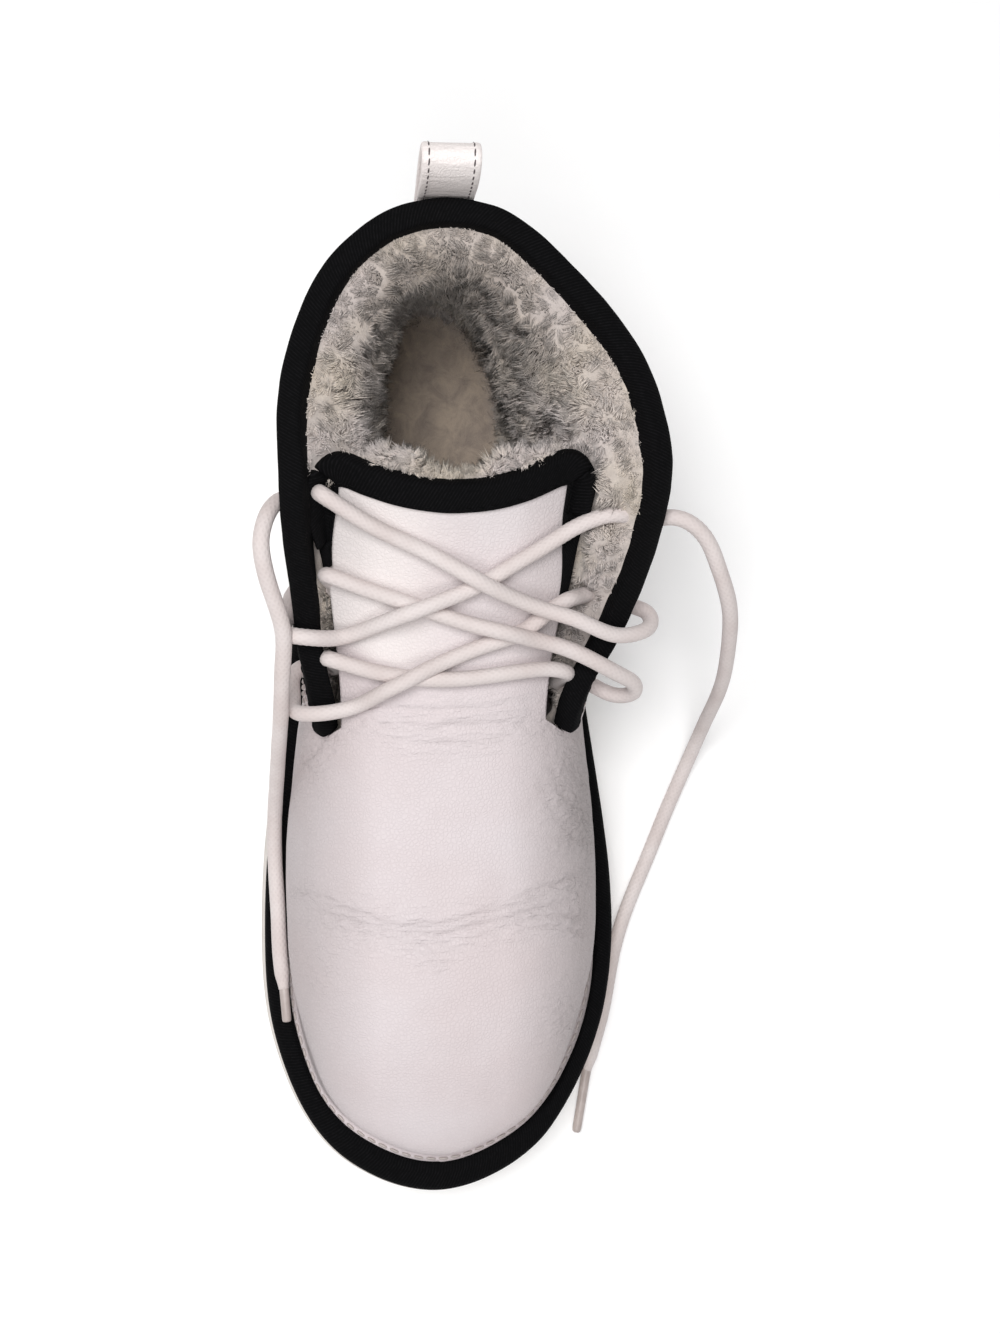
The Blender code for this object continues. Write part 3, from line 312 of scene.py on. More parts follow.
# %% Sections
def reach(curve, centre, direction):
    """How far from a centre, in plan, a ray meets a curve, and the curve's other values."""
    off = curve[:, :2] - centre
    across = off[:, 1] * direction[0] - off[:, 0] * direction[1]
    meets = ((across[:-1] <= 0) != (across[1:] <= 0)) & ((off @ direction)[:-1] > 0)
    i = int(np.argmax(meets))
    share = across[i] / (across[i] - across[i + 1])
    found = curve[i] + share * (curve[i + 1] - curve[i])
    return [float((found[:2] - centre) @ direction)] + [float(v) for v in found[2:]]


def section(side, station):
    """Centre, heading and the main radii and heights of one section. Heading is 0 at the toe."""
    heading = 90.0
    if station < AT_VAMP:
        y, heading = TOE_CENTRE, 90.0 * station / AT_VAMP
    elif station < AT_THROAT:
        y = TOE_CENTRE + (THROAT_END - TOE_CENTRE) * (station - AT_VAMP) / (AT_THROAT - AT_VAMP)
    elif station <= AT_HEEL:
        share = (station - AT_THROAT) / (AT_HEEL - AT_THROAT)
        y = THROAT_END + (HEEL_CENTRE - THROAT_END) * ((1 - CROWD) * share + CROWD * share * share)
    else:
        y, heading = HEEL_CENTRE, 90.0 + 90.0 * (station - AT_HEEL) / (AT_BACK - AT_HEEL)
    turn = math.radians(heading)
    way = np.array([side * math.sin(turn), -math.cos(turn)])
    ring = reach(outline_curve, np.array([MIDDLE_X, y]), way)[0]
    foot = y + ring * way[1]
    toe_share = float(ease((-foot - 0.115) / 0.029))
    lip = 0.0070 + 0.0017 * toe_share
    seam = ring - lip - 0.0015 - 0.0010 * toe_share
    land = float(sole_top_line(foot)[0, 0])
    inner, outer, height = bulge_line(foot)[0]
    return [y, turn, ring, lip, seam, land, foot, seam + (outer if side > 0 else inner), height]


SECTION_NAMES = ("y", "turn", "ring", "lip", "seam", "land", "foot", "widest", "widest_height")
STATIONS = np.linspace(0, AT_BACK, AT_BACK * 16 + 1)
section_table = {s: np.array([section(s, k) for k in STATIONS]) for s in (1, -1)}


def at_section(side, station):
    """The numbers of the sections at an array of stations."""
    station = np.clip(station, 0, AT_BACK)
    values = {n: np.interp(station, STATIONS, section_table[side][:, i]) for i,
              n in enumerate(SECTION_NAMES)}
    values["way"] = np.stack([side * np.sin(values["turn"]), -np.cos(values["turn"])], -1)
    values["flange_top"] = values["land"] + 2 * GAP + RING_TAPE + WALL
    return values


def dome(at, turn):
    """Radius and height on the vamp's crown: turn 0 is the widest line, 90 degrees the ridge."""
    radius = at["widest"] * np.maximum(np.cos(turn), 0.0) ** (2 / ACROSS_POWER)
    y = at["y"] + radius * at["way"][..., 1]
    ridge = ridge_line(np.ravel(y))[:, 0].reshape(np.shape(y))
    return radius, at["widest_height"] + (ridge - at["widest_height"]) * np.sin(turn)


def rim_start(side):
    at = at_section(side, np.array([float(AT_THROAT)]))
    radius, height = dome(at, RIM_TURN)
    return MIDDLE_X + side * radius[0], at["y"][0], height[0]


rim_rows = np.array(RIM) * MM
rim_curve = smooth_path(
    [rim_start(1)] + [(row[2], row[0], row[3]) for row in rim_rows]
                        + [tuple(np.array(RIM_BACK) * MM)]
    + [(row[1], row[0], row[3]) for row in reversed(rim_rows)] + [rim_start(-1)], 1200)
rim_table = {}
for s in (1, -1):
    rows = section_table[s]
    rim_table[s] = np.array([
        reach(rim_curve, np.array([MIDDLE_X, row[0]]),
              np.array([s * math.sin(row[1]), -math.cos(row[1])]))
        if k > AT_THROAT else (0.0, 0.0) for k, row in zip(STATIONS, rows)])
    start = rim_start(s)
    rim_table[s][STATIONS <= AT_THROAT] = abs(start[0] - MIDDLE_X), start[2]
print("edge of the collar: %.0f mm long" % (along(rim_curve)[-1] / MM))


# %% The surface of the upper
def turn_of(row):
    """Angle round the crown at a row above the widest line."""
    low = np.interp(row, np.arange(4, 9), QUARTER_SHARES) * RIM_TURN
    high = RIM_TURN + np.clip((row - RIM_ROW) / (RIDGE_ROW - RIM_ROW), 0,
                              1) * (math.pi / 2 - RIM_TURN)
    return np.where(row <= RIM_ROW, low, high)


def surface(side, station, row):
    """Points of the upper's outside. Row 0 is the edge of its flange, 2 the root of the wall,
    4 the widest line, 8 the edge of the quarters and 13 the ridge."""
    station, row = np.broadcast_arrays(np.asarray(station, float), np.asarray(row, float))
    at = at_section(side, station)
    low, high = at["flange_top"], at["widest_height"]
    flange = at["ring"] - RING_TAPE - GAP
    root = at["seam"] + 0.0001
    # flange and fillet
    t = np.clip(row - 1, 0, 1) * math.pi / 2
    r = np.where(row < 1, flange + row * (at["seam"] + 0.0013 - flange),
                 root + 0.0012 * (1 - np.sin(t)))
    z = np.where(row < 1, low, low + 0.0012 * (1 - np.cos(t)))
    # lower wall: a curve from the root by its middle to the widest line, upright there
    middle = np.stack([at["seam"] + 0.65 * (at["widest"] - at["seam"]), low + 0.48 * (high - low)])
    ends = np.stack([root, low + 0.0012]), np.stack([at["widest"], high])
    t = np.clip((row - 2) / 2, 0, 1)
    b0, b1, b2 = (t - 0.5) * (t - 1) * 2, -4 * t * (t - 1), 2 * t * (t - 0.5)
    wall = b0 * ends[0] + b1 * middle + b2 * ends[1]
    r, z = np.where(row > 2, wall[0], r), np.where(row > 2, wall[1], z)
    # crown, and the standing quarter behind it
    turn = turn_of(row)
    crown_r, crown_z = dome(at, turn)
    rim = [np.interp(station, STATIONS, rim_table[side][:, i]) for i in (0, 1)]
    share = np.clip(turn / RIM_TURN, 0, 1)
    power = 2 / ACROSS_POWER
    in_dome = (1 - np.cos(turn) ** power) / (1 - math.cos(RIM_TURN) ** power)
    up_dome = np.sin(turn) / math.sin(RIM_TURN)
    hollow = hollow_line(np.ravel(at["foot"]))[:, 0 if side < 0 else 1].reshape(station.shape)
    stand = ease((at["foot"] - THROAT_END) / STAND_LENGTH)
    inward = (1 - stand) * in_dome + stand * share ** 1.3
    upward = (1 - stand) * up_dome + stand * share
    side_r = (at["widest"] + (rim[0] - at["widest"]) * inward
              - stand * hollow * np.sin(math.pi * share))
    side_z = high + (rim[1] - high) * upward
    on_quarter = (station > AT_THROAT) & (row <= RIM_ROW)
    r = np.where(row > 4, np.where(on_quarter, side_r, crown_r), r)
    z = np.where(row > 4, np.where(on_quarter, side_z, crown_z), z)
    plan = np.stack([np.full_like(r, MIDDLE_X), at["y"]], -1) + r[..., None] * at["way"]
    return np.concatenate([plan, z[..., None]], -1)


def swept(k, row):
    """The station that column k passes at a row: the quarter's seam runs back towards the sole."""
    near = ease(1 - np.minimum(abs(k - AT_THROAT) / 8.0, 1))
    low = k + SEAM_SWEEP * near * (1 - ease((row - 2) / (RIM_ROW - 2)))
    share = np.cos(turn_of(row)) / math.cos(RIM_TURN)
    near = np.where(k >= AT_VAMP, ease(1 - np.minimum((AT_THROAT - k) / 8.0, 1)), 0)
    return np.where(row <= RIM_ROW, low, k + near * (1 - share ** 2) * THROAT_RISE / THROAT_PITCH)


def outward(side, station, row):
    """Unit normals of the surface."""
    station, row = np.broadcast_arrays(np.asarray(station, float), np.asarray(row, float))
    ahead = surface(side, station + 0.15, row) - surface(side, station - 0.15, row)
    top = np.where((station > AT_THROAT) & (row <= RIM_ROW), RIM_ROW, RIDGE_ROW - 0.02)
    rise = (surface(side, station, np.minimum(row + 0.12, top))
            - surface(side, station, np.minimum(row, top) - 0.12))
    normal = np.cross(ahead, rise) * side
    return normal / np.linalg.norm(normal, axis=-1, keepdims=True)


print("widest line of the vamp at the ball: %.1f mm across" % ((
    surface(1, 9.0, 4.0)[0] - surface(-1, 9.0, 4.0)[0]) / MM))


# %% [markdown]
# ## Making a mesh from rows of points
# Nearly every piece is a strip or a tube: leather bends over the last, tape folds over an edge,
# a lace is round. Each is made from rows of points that are joined by quads. The strip also
# carries its own length and width in metres as UV, so that a weave keeps its real size round
# every bend. Open sheets get their thickness from the Solidify modifier.

# %% Strips, tubes and sheets
def publish(name, mesh, look, outside=True):
    """Puts a mesh in the scene as a smooth-shaded piece, faces outwards if it is closed."""
    if outside:
        work = bmesh.new()
        work.from_mesh(mesh)
        bmesh.ops.recalc_face_normals(work, faces=work.faces)
        work.to_mesh(mesh)
        work.free()
    mesh.shade_smooth()
    mesh.materials.append(look)
    obj = bpy.data.objects.new(name, mesh)
    bpy.context.scene.collection.objects.link(obj)
    return obj


def quads(n, m, path_closed, ring_closed):
    """Corner indices, and their steps along and across, for a grid of n rows of m points."""
    i, j = np.meshgrid(np.arange(n if path_closed else n - 1),
                       np.arange(m if ring_closed else m - 1), indexing="ij")
    steps = np.stack([np.stack([i, j], -1), np.stack([i, j + 1], -1), np.stack([i + 1, j + 1], -1),
                      np.stack([i + 1, j], -1)], 2).reshape(-1, 4, 2)
    return (steps[..., 0] % n) * m + steps[..., 1] % m, steps


def strip(name, rings, look, ring_closed=True, path_closed=False):
    """A piece through rows of points, with its UV in metres: along it and across it."""
    rings = np.asarray(rings, float)
    n, m = rings.shape[:2]
    faces, steps = quads(n, m, path_closed, ring_closed)
    mesh = bpy.data.meshes.new(name)
    polygons = faces.tolist()
    if ring_closed and not path_closed:
        polygons += [list(range(m))[::-1], list(range((n - 1) * m, n * m))]
    mesh.from_pydata((rings.reshape(-1, 3) + SHIFT).tolist(), [], polygons)
    u = along(np.vstack([rings.mean(1), rings.mean(1)[:1]]))
    v = along(np.vstack([rings[n // 2], rings[n // 2][:1]]))
    uv = np.zeros((len(mesh.loops), 2))
    uv[:steps.shape[0] * 4] = np.stack([u[steps[..., 0]], v[steps[..., 1]]], -1).reshape(-1, 2)
    mesh.uv_layers.new(name="length_and_width").data.foreach_set("uv", uv.ravel())
    return publish(name, mesh, look, outside=ring_closed)


def patchwork(name, grids):
    """One mesh from several grids of points, joined where they meet."""
    points, polygons = [], []
    for grid in grids:
        faces, _ = quads(grid.shape[0], grid.shape[1], False, False)
        polygons += (faces + sum(len(p) for p in points)).tolist()
        points.append(grid.reshape(-1, 3) + SHIFT)
    mesh = bpy.data.meshes.new(name)
    mesh.from_pydata(np.vstack(points).tolist(), [], polygons)
    work = bmesh.new()
    work.from_mesh(mesh)
    bmesh.ops.remove_doubles(work, verts=work.verts, dist=8e-6)
    bmesh.ops.dissolve_degenerate(work, edges=work.edges, dist=1e-6)
    bmesh.ops.recalc_face_normals(work, faces=work.faces)
    highest = max(work.faces, key=lambda f: f.calc_center_median().z)
    if highest.normal.z < 0 and name != "lining":
        bmesh.ops.reverse_faces(work, faces=work.faces)
    work.to_mesh(mesh)
    work.free()
    return mesh


def points_of(mesh):
    co = np.empty(len(mesh.vertices) * 3)
    mesh.vertices.foreach_get("co", co)
    return co.reshape(-1, 3)


def normals_of(mesh):
    normal = np.empty(len(mesh.vertices) * 3)
    mesh.vertex_normals.foreach_get("vector", normal)
    return normal.reshape(-1, 3)


def push(mesh, amount):
    """Moves every vertex along its normal by its own distance."""
    moved = points_of(mesh) + normals_of(mesh) * np.asarray(amount)[:, None]
    mesh.vertices.foreach_set("co", moved.ravel())
    mesh.update()


def nearest(points, cloud):
    """For each point, which point of the cloud is nearest, and how far away it is."""
    tree = kdtree.KDTree(len(cloud))
    for i, p in enumerate(cloud):
        tree.insert(p, i)
    tree.balance()
    found = [tree.find(p)[1:] for p in points]
    return np.array([i for i, _ in found]), np.array([d for _, d in found])


def record_on(mesh, name, values):
    """Keeps a number from 0 to 1 at every vertex, for a material to read."""
    kept = mesh.attributes.new(name, "FLOAT", "POINT")
    kept.data.foreach_set("value", np.asarray(values, np.float32))


def thicken(obj, thickness):
    step = obj.modifiers.new("thickness", "SOLIDIFY")
    step.thickness = thickness
    step.offset = -1.0


def grain(points, size):
    """Smooth noise from about -1 to 1 with features of a given size, at each point."""
    return np.array([noise.noise(Vector(p)) for p in np.asarray(points) / size]) * 1.6


def stand_for(obj, slot, *nodes):
    """Fixes a piece to the boot and hides the solids that it stands for; slot is not used."""
    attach(obj, "root")
    if nodes:
        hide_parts(*nodes)
    return obj


# %% [markdown]
# ## The lace: route
# The lace is one round cord. It starts as a bar between the two lowest holes, then crosses the
# tongue four times, each time out through a hole, over the flap and back under the other flap.
# It is only threaded, not pulled tight or tied, so its loops stand out from the flaps and both
# ends hang free: one falls down the inner side on to the sole's edge, the other arcs out and
# lies on the floor. The routes are those of the solids, but for the end of one crossing, which
# goes on a little further under the outer flap's tape.

# %% Routes in millimetres
LACE, TIP = 0.0046, 0.0030
LACE_BAR = (
    ((-33.4, 12.8, 86.6),),
    ((-26.0, 10.3, 3.0), (-19.5, 8.4, 3.0), (-2.0, 6.2, 3.0), (21.0, 8.6, 3.1)),
    ((29.5, 9.2, 85.7), (33.8, 8.6, 82.2)),
)
LACE_FROM_INNER_LOW = (
    ((-42.9, 10.0, 69.8), (-43.4, 4.5, 71.6), (-43.0, -0.6, 75.2), (-40.4, -1.9, 79.2),
     (-35.6, -2.0, 81.8)),
    ((-27.5, -0.6, 3.0), (-18.5, 3.2, 5.8), (-14.0, 5.2, 6.7), (-8.5, 8.0, 5.4), (-2.0, 11.0, 3.2),
     (9.0, 15.2, 3.0), (21.0, 19.8, 3.0), (27.0, 24.4, 3.4)),
    ((32.4, 27.6, 95.2), (37.0, 29.4, 90.4), (40.2, 30.2, 86.4)),
)
LACE_FROM_INNER_HIGH = (
    ((-43.3, 31.0, 84.2), (-44.6, 26.0, 84.0), (-46.0, 21.5, 87.6), (-44.3, 18.9, 93.2),
     (-39.4, 18.0, 94.8)),
    ((-31.0, 18.3, 3.4), (-19.0, 21.5, 4.6), (-10.0, 24.2, 6.7), (-2.0, 27.2, 4.8),
     (7.5, 31.2, 3.0),
     (15.5, 35.8, 3.0), (25.5, 41.6, 3.4)),
    ((32.5, 45.8, 107.4), (38.7, 48.4, 108.3), (44.4, 49.4, 108.6), (47.3, 49.2, 106.8),
     (46.6, 48.6, 103.2)),
)
LACE_FROM_OUTER_LOW = (
    ((46.5, 4.2, 68.6), (50.6, 2.6, 71.0), (54.2, 3.2, 75.4), (53.6, 5.2, 79.6), (49.4, 7.2, 84.2),
     (44.0, 9.4, 88.2)),
    ((31.5, 14.6, 4.4), (22.0, 16.8, 5.6), (14.5, 18.2, 6.7), (7.0, 20.0, 5.0), (-2.4, 22.9, 3.0),
     (-14.6, 27.2, 3.0), (-27.5, 31.9, 3.1)),
    ((-34.4, 34.6, 98.8),),
)
LACE_FROM_OUTER_HIGH = (
    ((48.8, 28.6, 80.6), (53.2, 27.6, 80.8), (57.2, 25.4, 83.2), (57.4, 21.6, 87.0),
     (52.6, 18.6, 91.4), (46.6, 17.8, 94.2)),
    ((34.0, 21.8, 6.0), (26.0, 24.2, 6.9), (15.0, 27.8, 5.8), (7.0, 31.0, 6.7), (-6.5, 38.6, 3.0),
     (-21.5, 45.6, 3.2)),
    ((-31.0, 51.0, 113.2), (-36.4, 54.6, 113.4)),
)
LACE_END_INNER = (
    (-44.6, 55.0, 102.4), (-47.3, 53.6, 106.1), (-49.7, 50.5, 108.9), (-51.3, 46.3, 110.4),
                  (-52.0, 41.5, 110.4),
    (-51.5, 37.0, 108.8), (-50.1, 31.5, 105.6), (-46.3, 19.4, 97.6), (-46.4, 10.4, 90.9),
                  (-46.8, 0.5, 81.5),
    (-47.4, -9.6, 66.0), (-48.0, -20.0, 47.0), (-48.6, -31.0, 33.0), (-48.6, -42.6, 26.6),
                  (-47.9, -57.7, 25.8),
    (-47.3, -73.4, 25.8), (-46.4, -82.0, 25.9),
)
LACE_TIP_INNER = ((-46.3, -82.6, 25.9), (-45.6, -92.0, 25.9))
LACE_END_OUTER = (
    (53.2, 47.6, 98.5), (57.0, 49.0, 104.0), (61.0, 48.9, 106.6), (67.2, 46.1, 106.0),
                  (74.2, 36.7, 100.0),
    (79.6, 26.9, 90.0), (83.0, 17.3, 75.0), (85.6, 7.5, 55.0), (86.8, -1.3, 30.0),
                  (86.6, -9.7, 11.0),
    (84.6, -16.5, 4.8), (81.6, -23.5, 2.9), (77.0, -33.5, 2.6), (71.6, -45.7, 2.5),
                  (63.7, -63.4, 2.5),
    (59.2, -77.6, 2.5), (55.9, -93.3, 2.5), (52.1, -105.8, 2.5), (49.9, -112.8, 2.5),
)
LACE_TIP_OUTER = ((49.75, -113.3, 2.5), (46.0, -132.2, 2.5))


# %% The lace's material
# Braided polyester, soft and matt, with a faint pink-grey cast. Two sets of bands at opposite
# slants are the strands that cross all along the cord, with painted shade in the gaps between them.
lace_cloth, tree, shader = finish_of("braided_polyester_lace", Roughness=0.78, IOR=1.5,
                                     Sheen_Weight=0.15)
waves = [bands(tree, slant, 0.00021, {"Distortion": 0.6, "Detail": 1.0, "Detail Scale": 2.0})
         for slant in (52.0, -52.0)]
braid = add(tree, "Math", {"operation": "MAXIMUM"}, dict(enumerate(waves)))
darkening = levels(tree, noise_at(tree, add(tree, "TexCoord", out="Object"), 0.014, 3.0), 0.3, 0.7)
body = blend(tree, darkening, "dcd3d1", "cfc3c0")
# painted shade: the gaps between the strands are darkened towards b4a5a2
shade_between_strands = levels(tree, braid, 0.25, 0.85, 0.12, 0.0)
lead(tree, shader, Base_Color=blend(tree, shade_between_strands, body, "b4a5a2"),
     Normal=bump(tree, braid, 0.6, 0.00013))

# The tip is the same braid fused with clear acetate: smoother, greyer and a little glossy.
tip_film, tree, shader = finish_of("acetate_lace_tip", Roughness=0.36, IOR=1.47)
smudge = noise_at(tree, add(tree, "TexCoord", out="Object"), 0.003, 4.0)
lead(tree, shader, Base_Color=blend(tree, smudge, "c3b8b4", "a0938e"),
     Normal=bump(tree, smudge, 0.3, 0.0002))


# %% Tubes along a route
def frames(path):
    """Direction, side and upper vectors along a path, carried forward without twist."""
    ahead = np.gradient(path, axis=0)
    ahead /= np.linalg.norm(ahead, axis=1, keepdims=True)
    sideways = np.empty_like(path)
    start = np.cross(ahead[0], [0.3, 0.2, 1.0])
    sideways[0] = start / np.linalg.norm(start)
    for i in range(1, len(path)):
        carried = sideways[i - 1] - (sideways[i - 1] @ ahead[i]) * ahead[i]
        sideways[i] = carried / np.linalg.norm(carried)
    return ahead, sideways, np.cross(ahead, sideways)


def tube(path, radius, sides=16):
    """Rings of points round a path; radius is one number or one for each ring and side."""
    _, sideways, upper = frames(path)
    turn = 2 * math.pi * np.arange(sides) / sides
    way = (np.cos(turn)[None, :, None] * sideways[:, None]
           + np.sin(turn)[None, :, None] * upper[:, None])
    radius = np.broadcast_to(np.asarray(radius, float), (len(path), sides))
    return path[:, None] + radius[..., None] * way


def lace_radius(path, sides=16):
    """The cord's radius with the slight unevenness of a braid that has been worn."""
    length = along(path)[:, None]
    turn = 2 * math.pi * np.arange(sides)[None] / sides
    phase = length / 0.0017 * 2 * math.pi
    strands = np.maximum(np.cos(phase + 4 * turn), np.cos(phase - 4 * turn))
    return 0.5 * LACE * (0.965 + 0.02 * np.sin(length / 0.021) + 0.022 * strands)


# %% [markdown]
# ## The free ends of the lace
# A free end is a fixed length of limp cord. Each is a mesh tube on the route of its solid, so
# it lies exactly where the model says, from its exit at the top hole to the tip that it ends in.

# %% The free ends
DRAWN_IN_OVER, TIP_OVERLAP = 0.0055, 0.0014    # where the cord narrows, how far the tip covers it
TIP_STEPS = np.array([0.0, 0.01, 0.04, 0.5, 0.93, 0.98, 1.0])
TIP_WIDTHS = np.array([0.75, 0.97, 1.0, 0.98, 0.96, 0.85, 0.5])
for side, route, tip_route in (("medial", LACE_END_INNER, LACE_TIP_INNER),
                               ("lateral", LACE_END_OUTER, LACE_TIP_OUTER)):
    path = smooth_path(np.array(route) * MM, 40)
    path = smooth_path(path, int(along(path)[-1] / 0.0008))
    to_tip = along(path)[-1] - along(path)[:, None]
    drawn_in = 1 - 0.31 * (1 - ease(to_tip / DRAWN_IN_OVER))
    end = strip("free_lace_" + side, tube(path, drawn_in * lace_radius(path)), lace_cloth)
    stand_for(end, "lace", "lace_end_" + side)
    first, last = np.array(tip_route) * MM
    first = first - TIP_OVERLAP * (last - first) / np.linalg.norm(last - first)
    widths = TIP_WIDTHS * 0.5 * TIP * (1.0 if side == "lateral" else 0.97)
    line = first + TIP_STEPS[:, None] * (last - first)
    tip = strip("free_lace_tip_" + side, tube(line, widths[:, None]), tip_film)
    stand_for(tip, "lace_tip", "lace_tip_" + side)


# %% [markdown]
# ## The tongue's surface
# The tongue is cut in one with the vamp, so there is no seam where the foot flexes most. Its
# foot follows the throat over the crown, and from there it rises and spreads to a top edge that
# dips in the middle. A Hermite curve from foot to top at every width gives that saddle.

# %% The throat line and the tongue
TONGUE_BASE_HALF, TONGUE_TOP_HALF = 0.0290, 0.0361
TONGUE_TOP = np.array([-0.0003, 0.0566, 0.1180])
LEAVE, ARRIVE = 0.055 * np.array([0, 0.955, 0.30]), 0.055 * np.array([0, 0.80, 0.60])
TONGUE_SPAN = np.array([0.036, 0.058])     # its half width and its length in plan, roughly
TURN_ROWS = np.linspace(RIM_ROW, RIDGE_ROW, 241)
throat = {s: surface(s, swept(np.full(241, float(AT_THROAT)), TURN_ROWS), TURN_ROWS)
          for s in (1, -1)}
throat_reach = {s: abs(throat[s][:, 0] - MIDDLE_X) for s in (1, -1)}
TONGUE_ROW = {s: float(np.interp(-TONGUE_BASE_HALF, -throat_reach[s], TURN_ROWS)) for s in (1, -1)}


def tongue_at(a, b):
    """Points of the tongue's face: a from -1 to 1 across, b from 0 to 1 up."""
    a, b = np.broadcast_arrays(np.asarray(a, float), np.asarray(b, float))
    reached = np.clip(abs(a), 0, 1.1) * TONGUE_BASE_HALF
    foot = np.where((a >= 0)[..., None], *[
        np.stack([np.interp(-reached, -throat_reach[s], throat[s][:, i]) for i in range(3)], -1)
                                           for s in (1, -1)])
    wing = np.maximum((abs(a) - 0.75) / 0.25, 0)
    back = 0.0105 * a * a + 0.0010 * a * abs(a) - 0.0035 * wing ** 2
    head = TONGUE_TOP + np.stack([TONGUE_TOP_HALF * a, back, -0.0035 * a * a], -1)
    b = b[..., None]
    start = (2 * b ** 3 - 3 * b ** 2 + 1) * foot + (b ** 3 - 2 * b ** 2 + b) * LEAVE
    return start + (3 * b ** 2 - 2 * b ** 3) * head + (b ** 3 - b ** 2) * ARRIVE


CORNER_A, CORNER_B = 0.17, 0.105    # the tongue's rounded corners, in its half width and height


def tongue_dip(a):
    """How far the cut edge of the tongue lies below its top, as a share of its height."""
    into = np.clip((abs(np.asarray(a, float)) - 1 + CORNER_A) / CORNER_A, 0, 1)
    return (0.034 * np.maximum(1 - ((np.asarray(a) - 0.12) / 0.95) ** 2, 0)
            + CORNER_B * (1 - np.sqrt(1 - into ** 2)))


def tongue_out(a, b):
    """Unit normals of the tongue's face."""
    a, b = np.broadcast_arrays(np.asarray(a, float), np.asarray(b, float))
    across = tongue_at(np.minimum(a + 0.02, 1), b) - tongue_at(np.maximum(a - 0.02, -1), b)
    up = tongue_at(a, np.minimum(b + 0.02, 1)) - tongue_at(a, np.maximum(b - 0.02, 0))
    normal = np.cross(across, up)
    return normal / np.linalg.norm(normal, axis=-1, keepdims=True)


def over_tongue(x, y, lift):
    """The point this far above the tongue's face at a place in plan, found step by step."""
    a, b = x / 0.033, 0.5
    for _ in range(14):
        off = (np.array([x, y]) - tongue_at(a, b)[:2]) / TONGUE_SPAN
        a, b = min(max(a + off[0], -1.1), 1.1), min(max(b + off[1], 0.0), 1.0)
    return np.array([x, y, tongue_at(a, b)[2] + lift / max(tongue_out(a, b)[2], 0.5)])


def run_points(run):
    """Points of one crossing: outside the first flap, over the tongue, to the last hole."""
    before, over, after = run
    return ([np.array(p) * MM for p in before]
            + [over_tongue(x * MM, y * MM, lift * MM) for x, y, lift in over]
            + [np.array(p) * MM for p in after])


print("tongue: %.0f mm long over its middle" % (along(tongue_at(0.0, np.linspace(0, 1, 40)))[-1]
                                                / MM))

# %% [markdown]
# ## The lace over the tongue
# The crossings of the solid end where the lace goes under a flap. The real lace goes on: it
# turns down inside the flap, comes out through the next hole and crosses again. So this piece
# is one tube from the top hole on the inner side to the top hole on the outer side. The holes
# are punched in plain leather, without metal rings.

# %% One lace through six holes
EYELETS = {1: (0.0065, 0.0280, 0.0480), -1: (0.0120, 0.0330, 0.0545)}
EYELET_DROP, EYELET_RADIUS = 0.0150, 0.0029


def station_at(y):
    """The station whose section lies at this y, between the throat and the heel's fan."""
    share = (y - THROAT_END) / (HEEL_CENTRE - THROAT_END)
    root = math.sqrt((1 - CROWD) ** 2 + 4 * CROWD * share)
    return AT_THROAT + (AT_HEEL - AT_THROAT) * (root - (1 - CROWD)) / (2 * CROWD)


def on_facing(side, station, drop):
    """Row of the quarter this far below its edge."""
    rows = np.linspace(RIM_ROW, 4, 161)
    return float(np.interp(drop, along(surface(side, station, rows)), rows))


eyelets = {}
for side, places in EYELETS.items():
    for i, y in enumerate(places):
        station = station_at(y)
        row = on_facing(side, station, EYELET_DROP)
        eyelets[side, i] = surface(side, station, row), outward(side, station, row)


def through(side, i, outwards=True):
    """Route points through a hole, from the lining's side to the leather's side."""
    point, normal = eyelets[side, i]
    points = [point + off * normal for off in (-0.0062, -0.0020, 0.0022)]
    return points if outwards else points[::-1]


whole = through(-1, 2, outwards=False)[1:] + run_points(LACE_FROM_OUTER_HIGH)[::-1]
whole += through(1, 1, outwards=False) + run_points(LACE_FROM_INNER_LOW)[::-1]
whole += through(-1, 0, outwards=False) + run_points(LACE_BAR)
whole += through(1, 0) + run_points(LACE_FROM_OUTER_LOW)
whole += through(-1, 1) + run_points(LACE_FROM_INNER_HIGH) + through(1, 2)[1:-1]
lace_path = path = smooth_path(whole, int(along(np.array(whole))[-1] / 0.0008))
lace = strip("lace_over_tongue", tube(path, lace_radius(path)), lace_cloth)
stand_for(lace, "lace", "lace_crossings")
print("lace between the two top holes: %.0f mm" % (along(path)[-1] / MM))
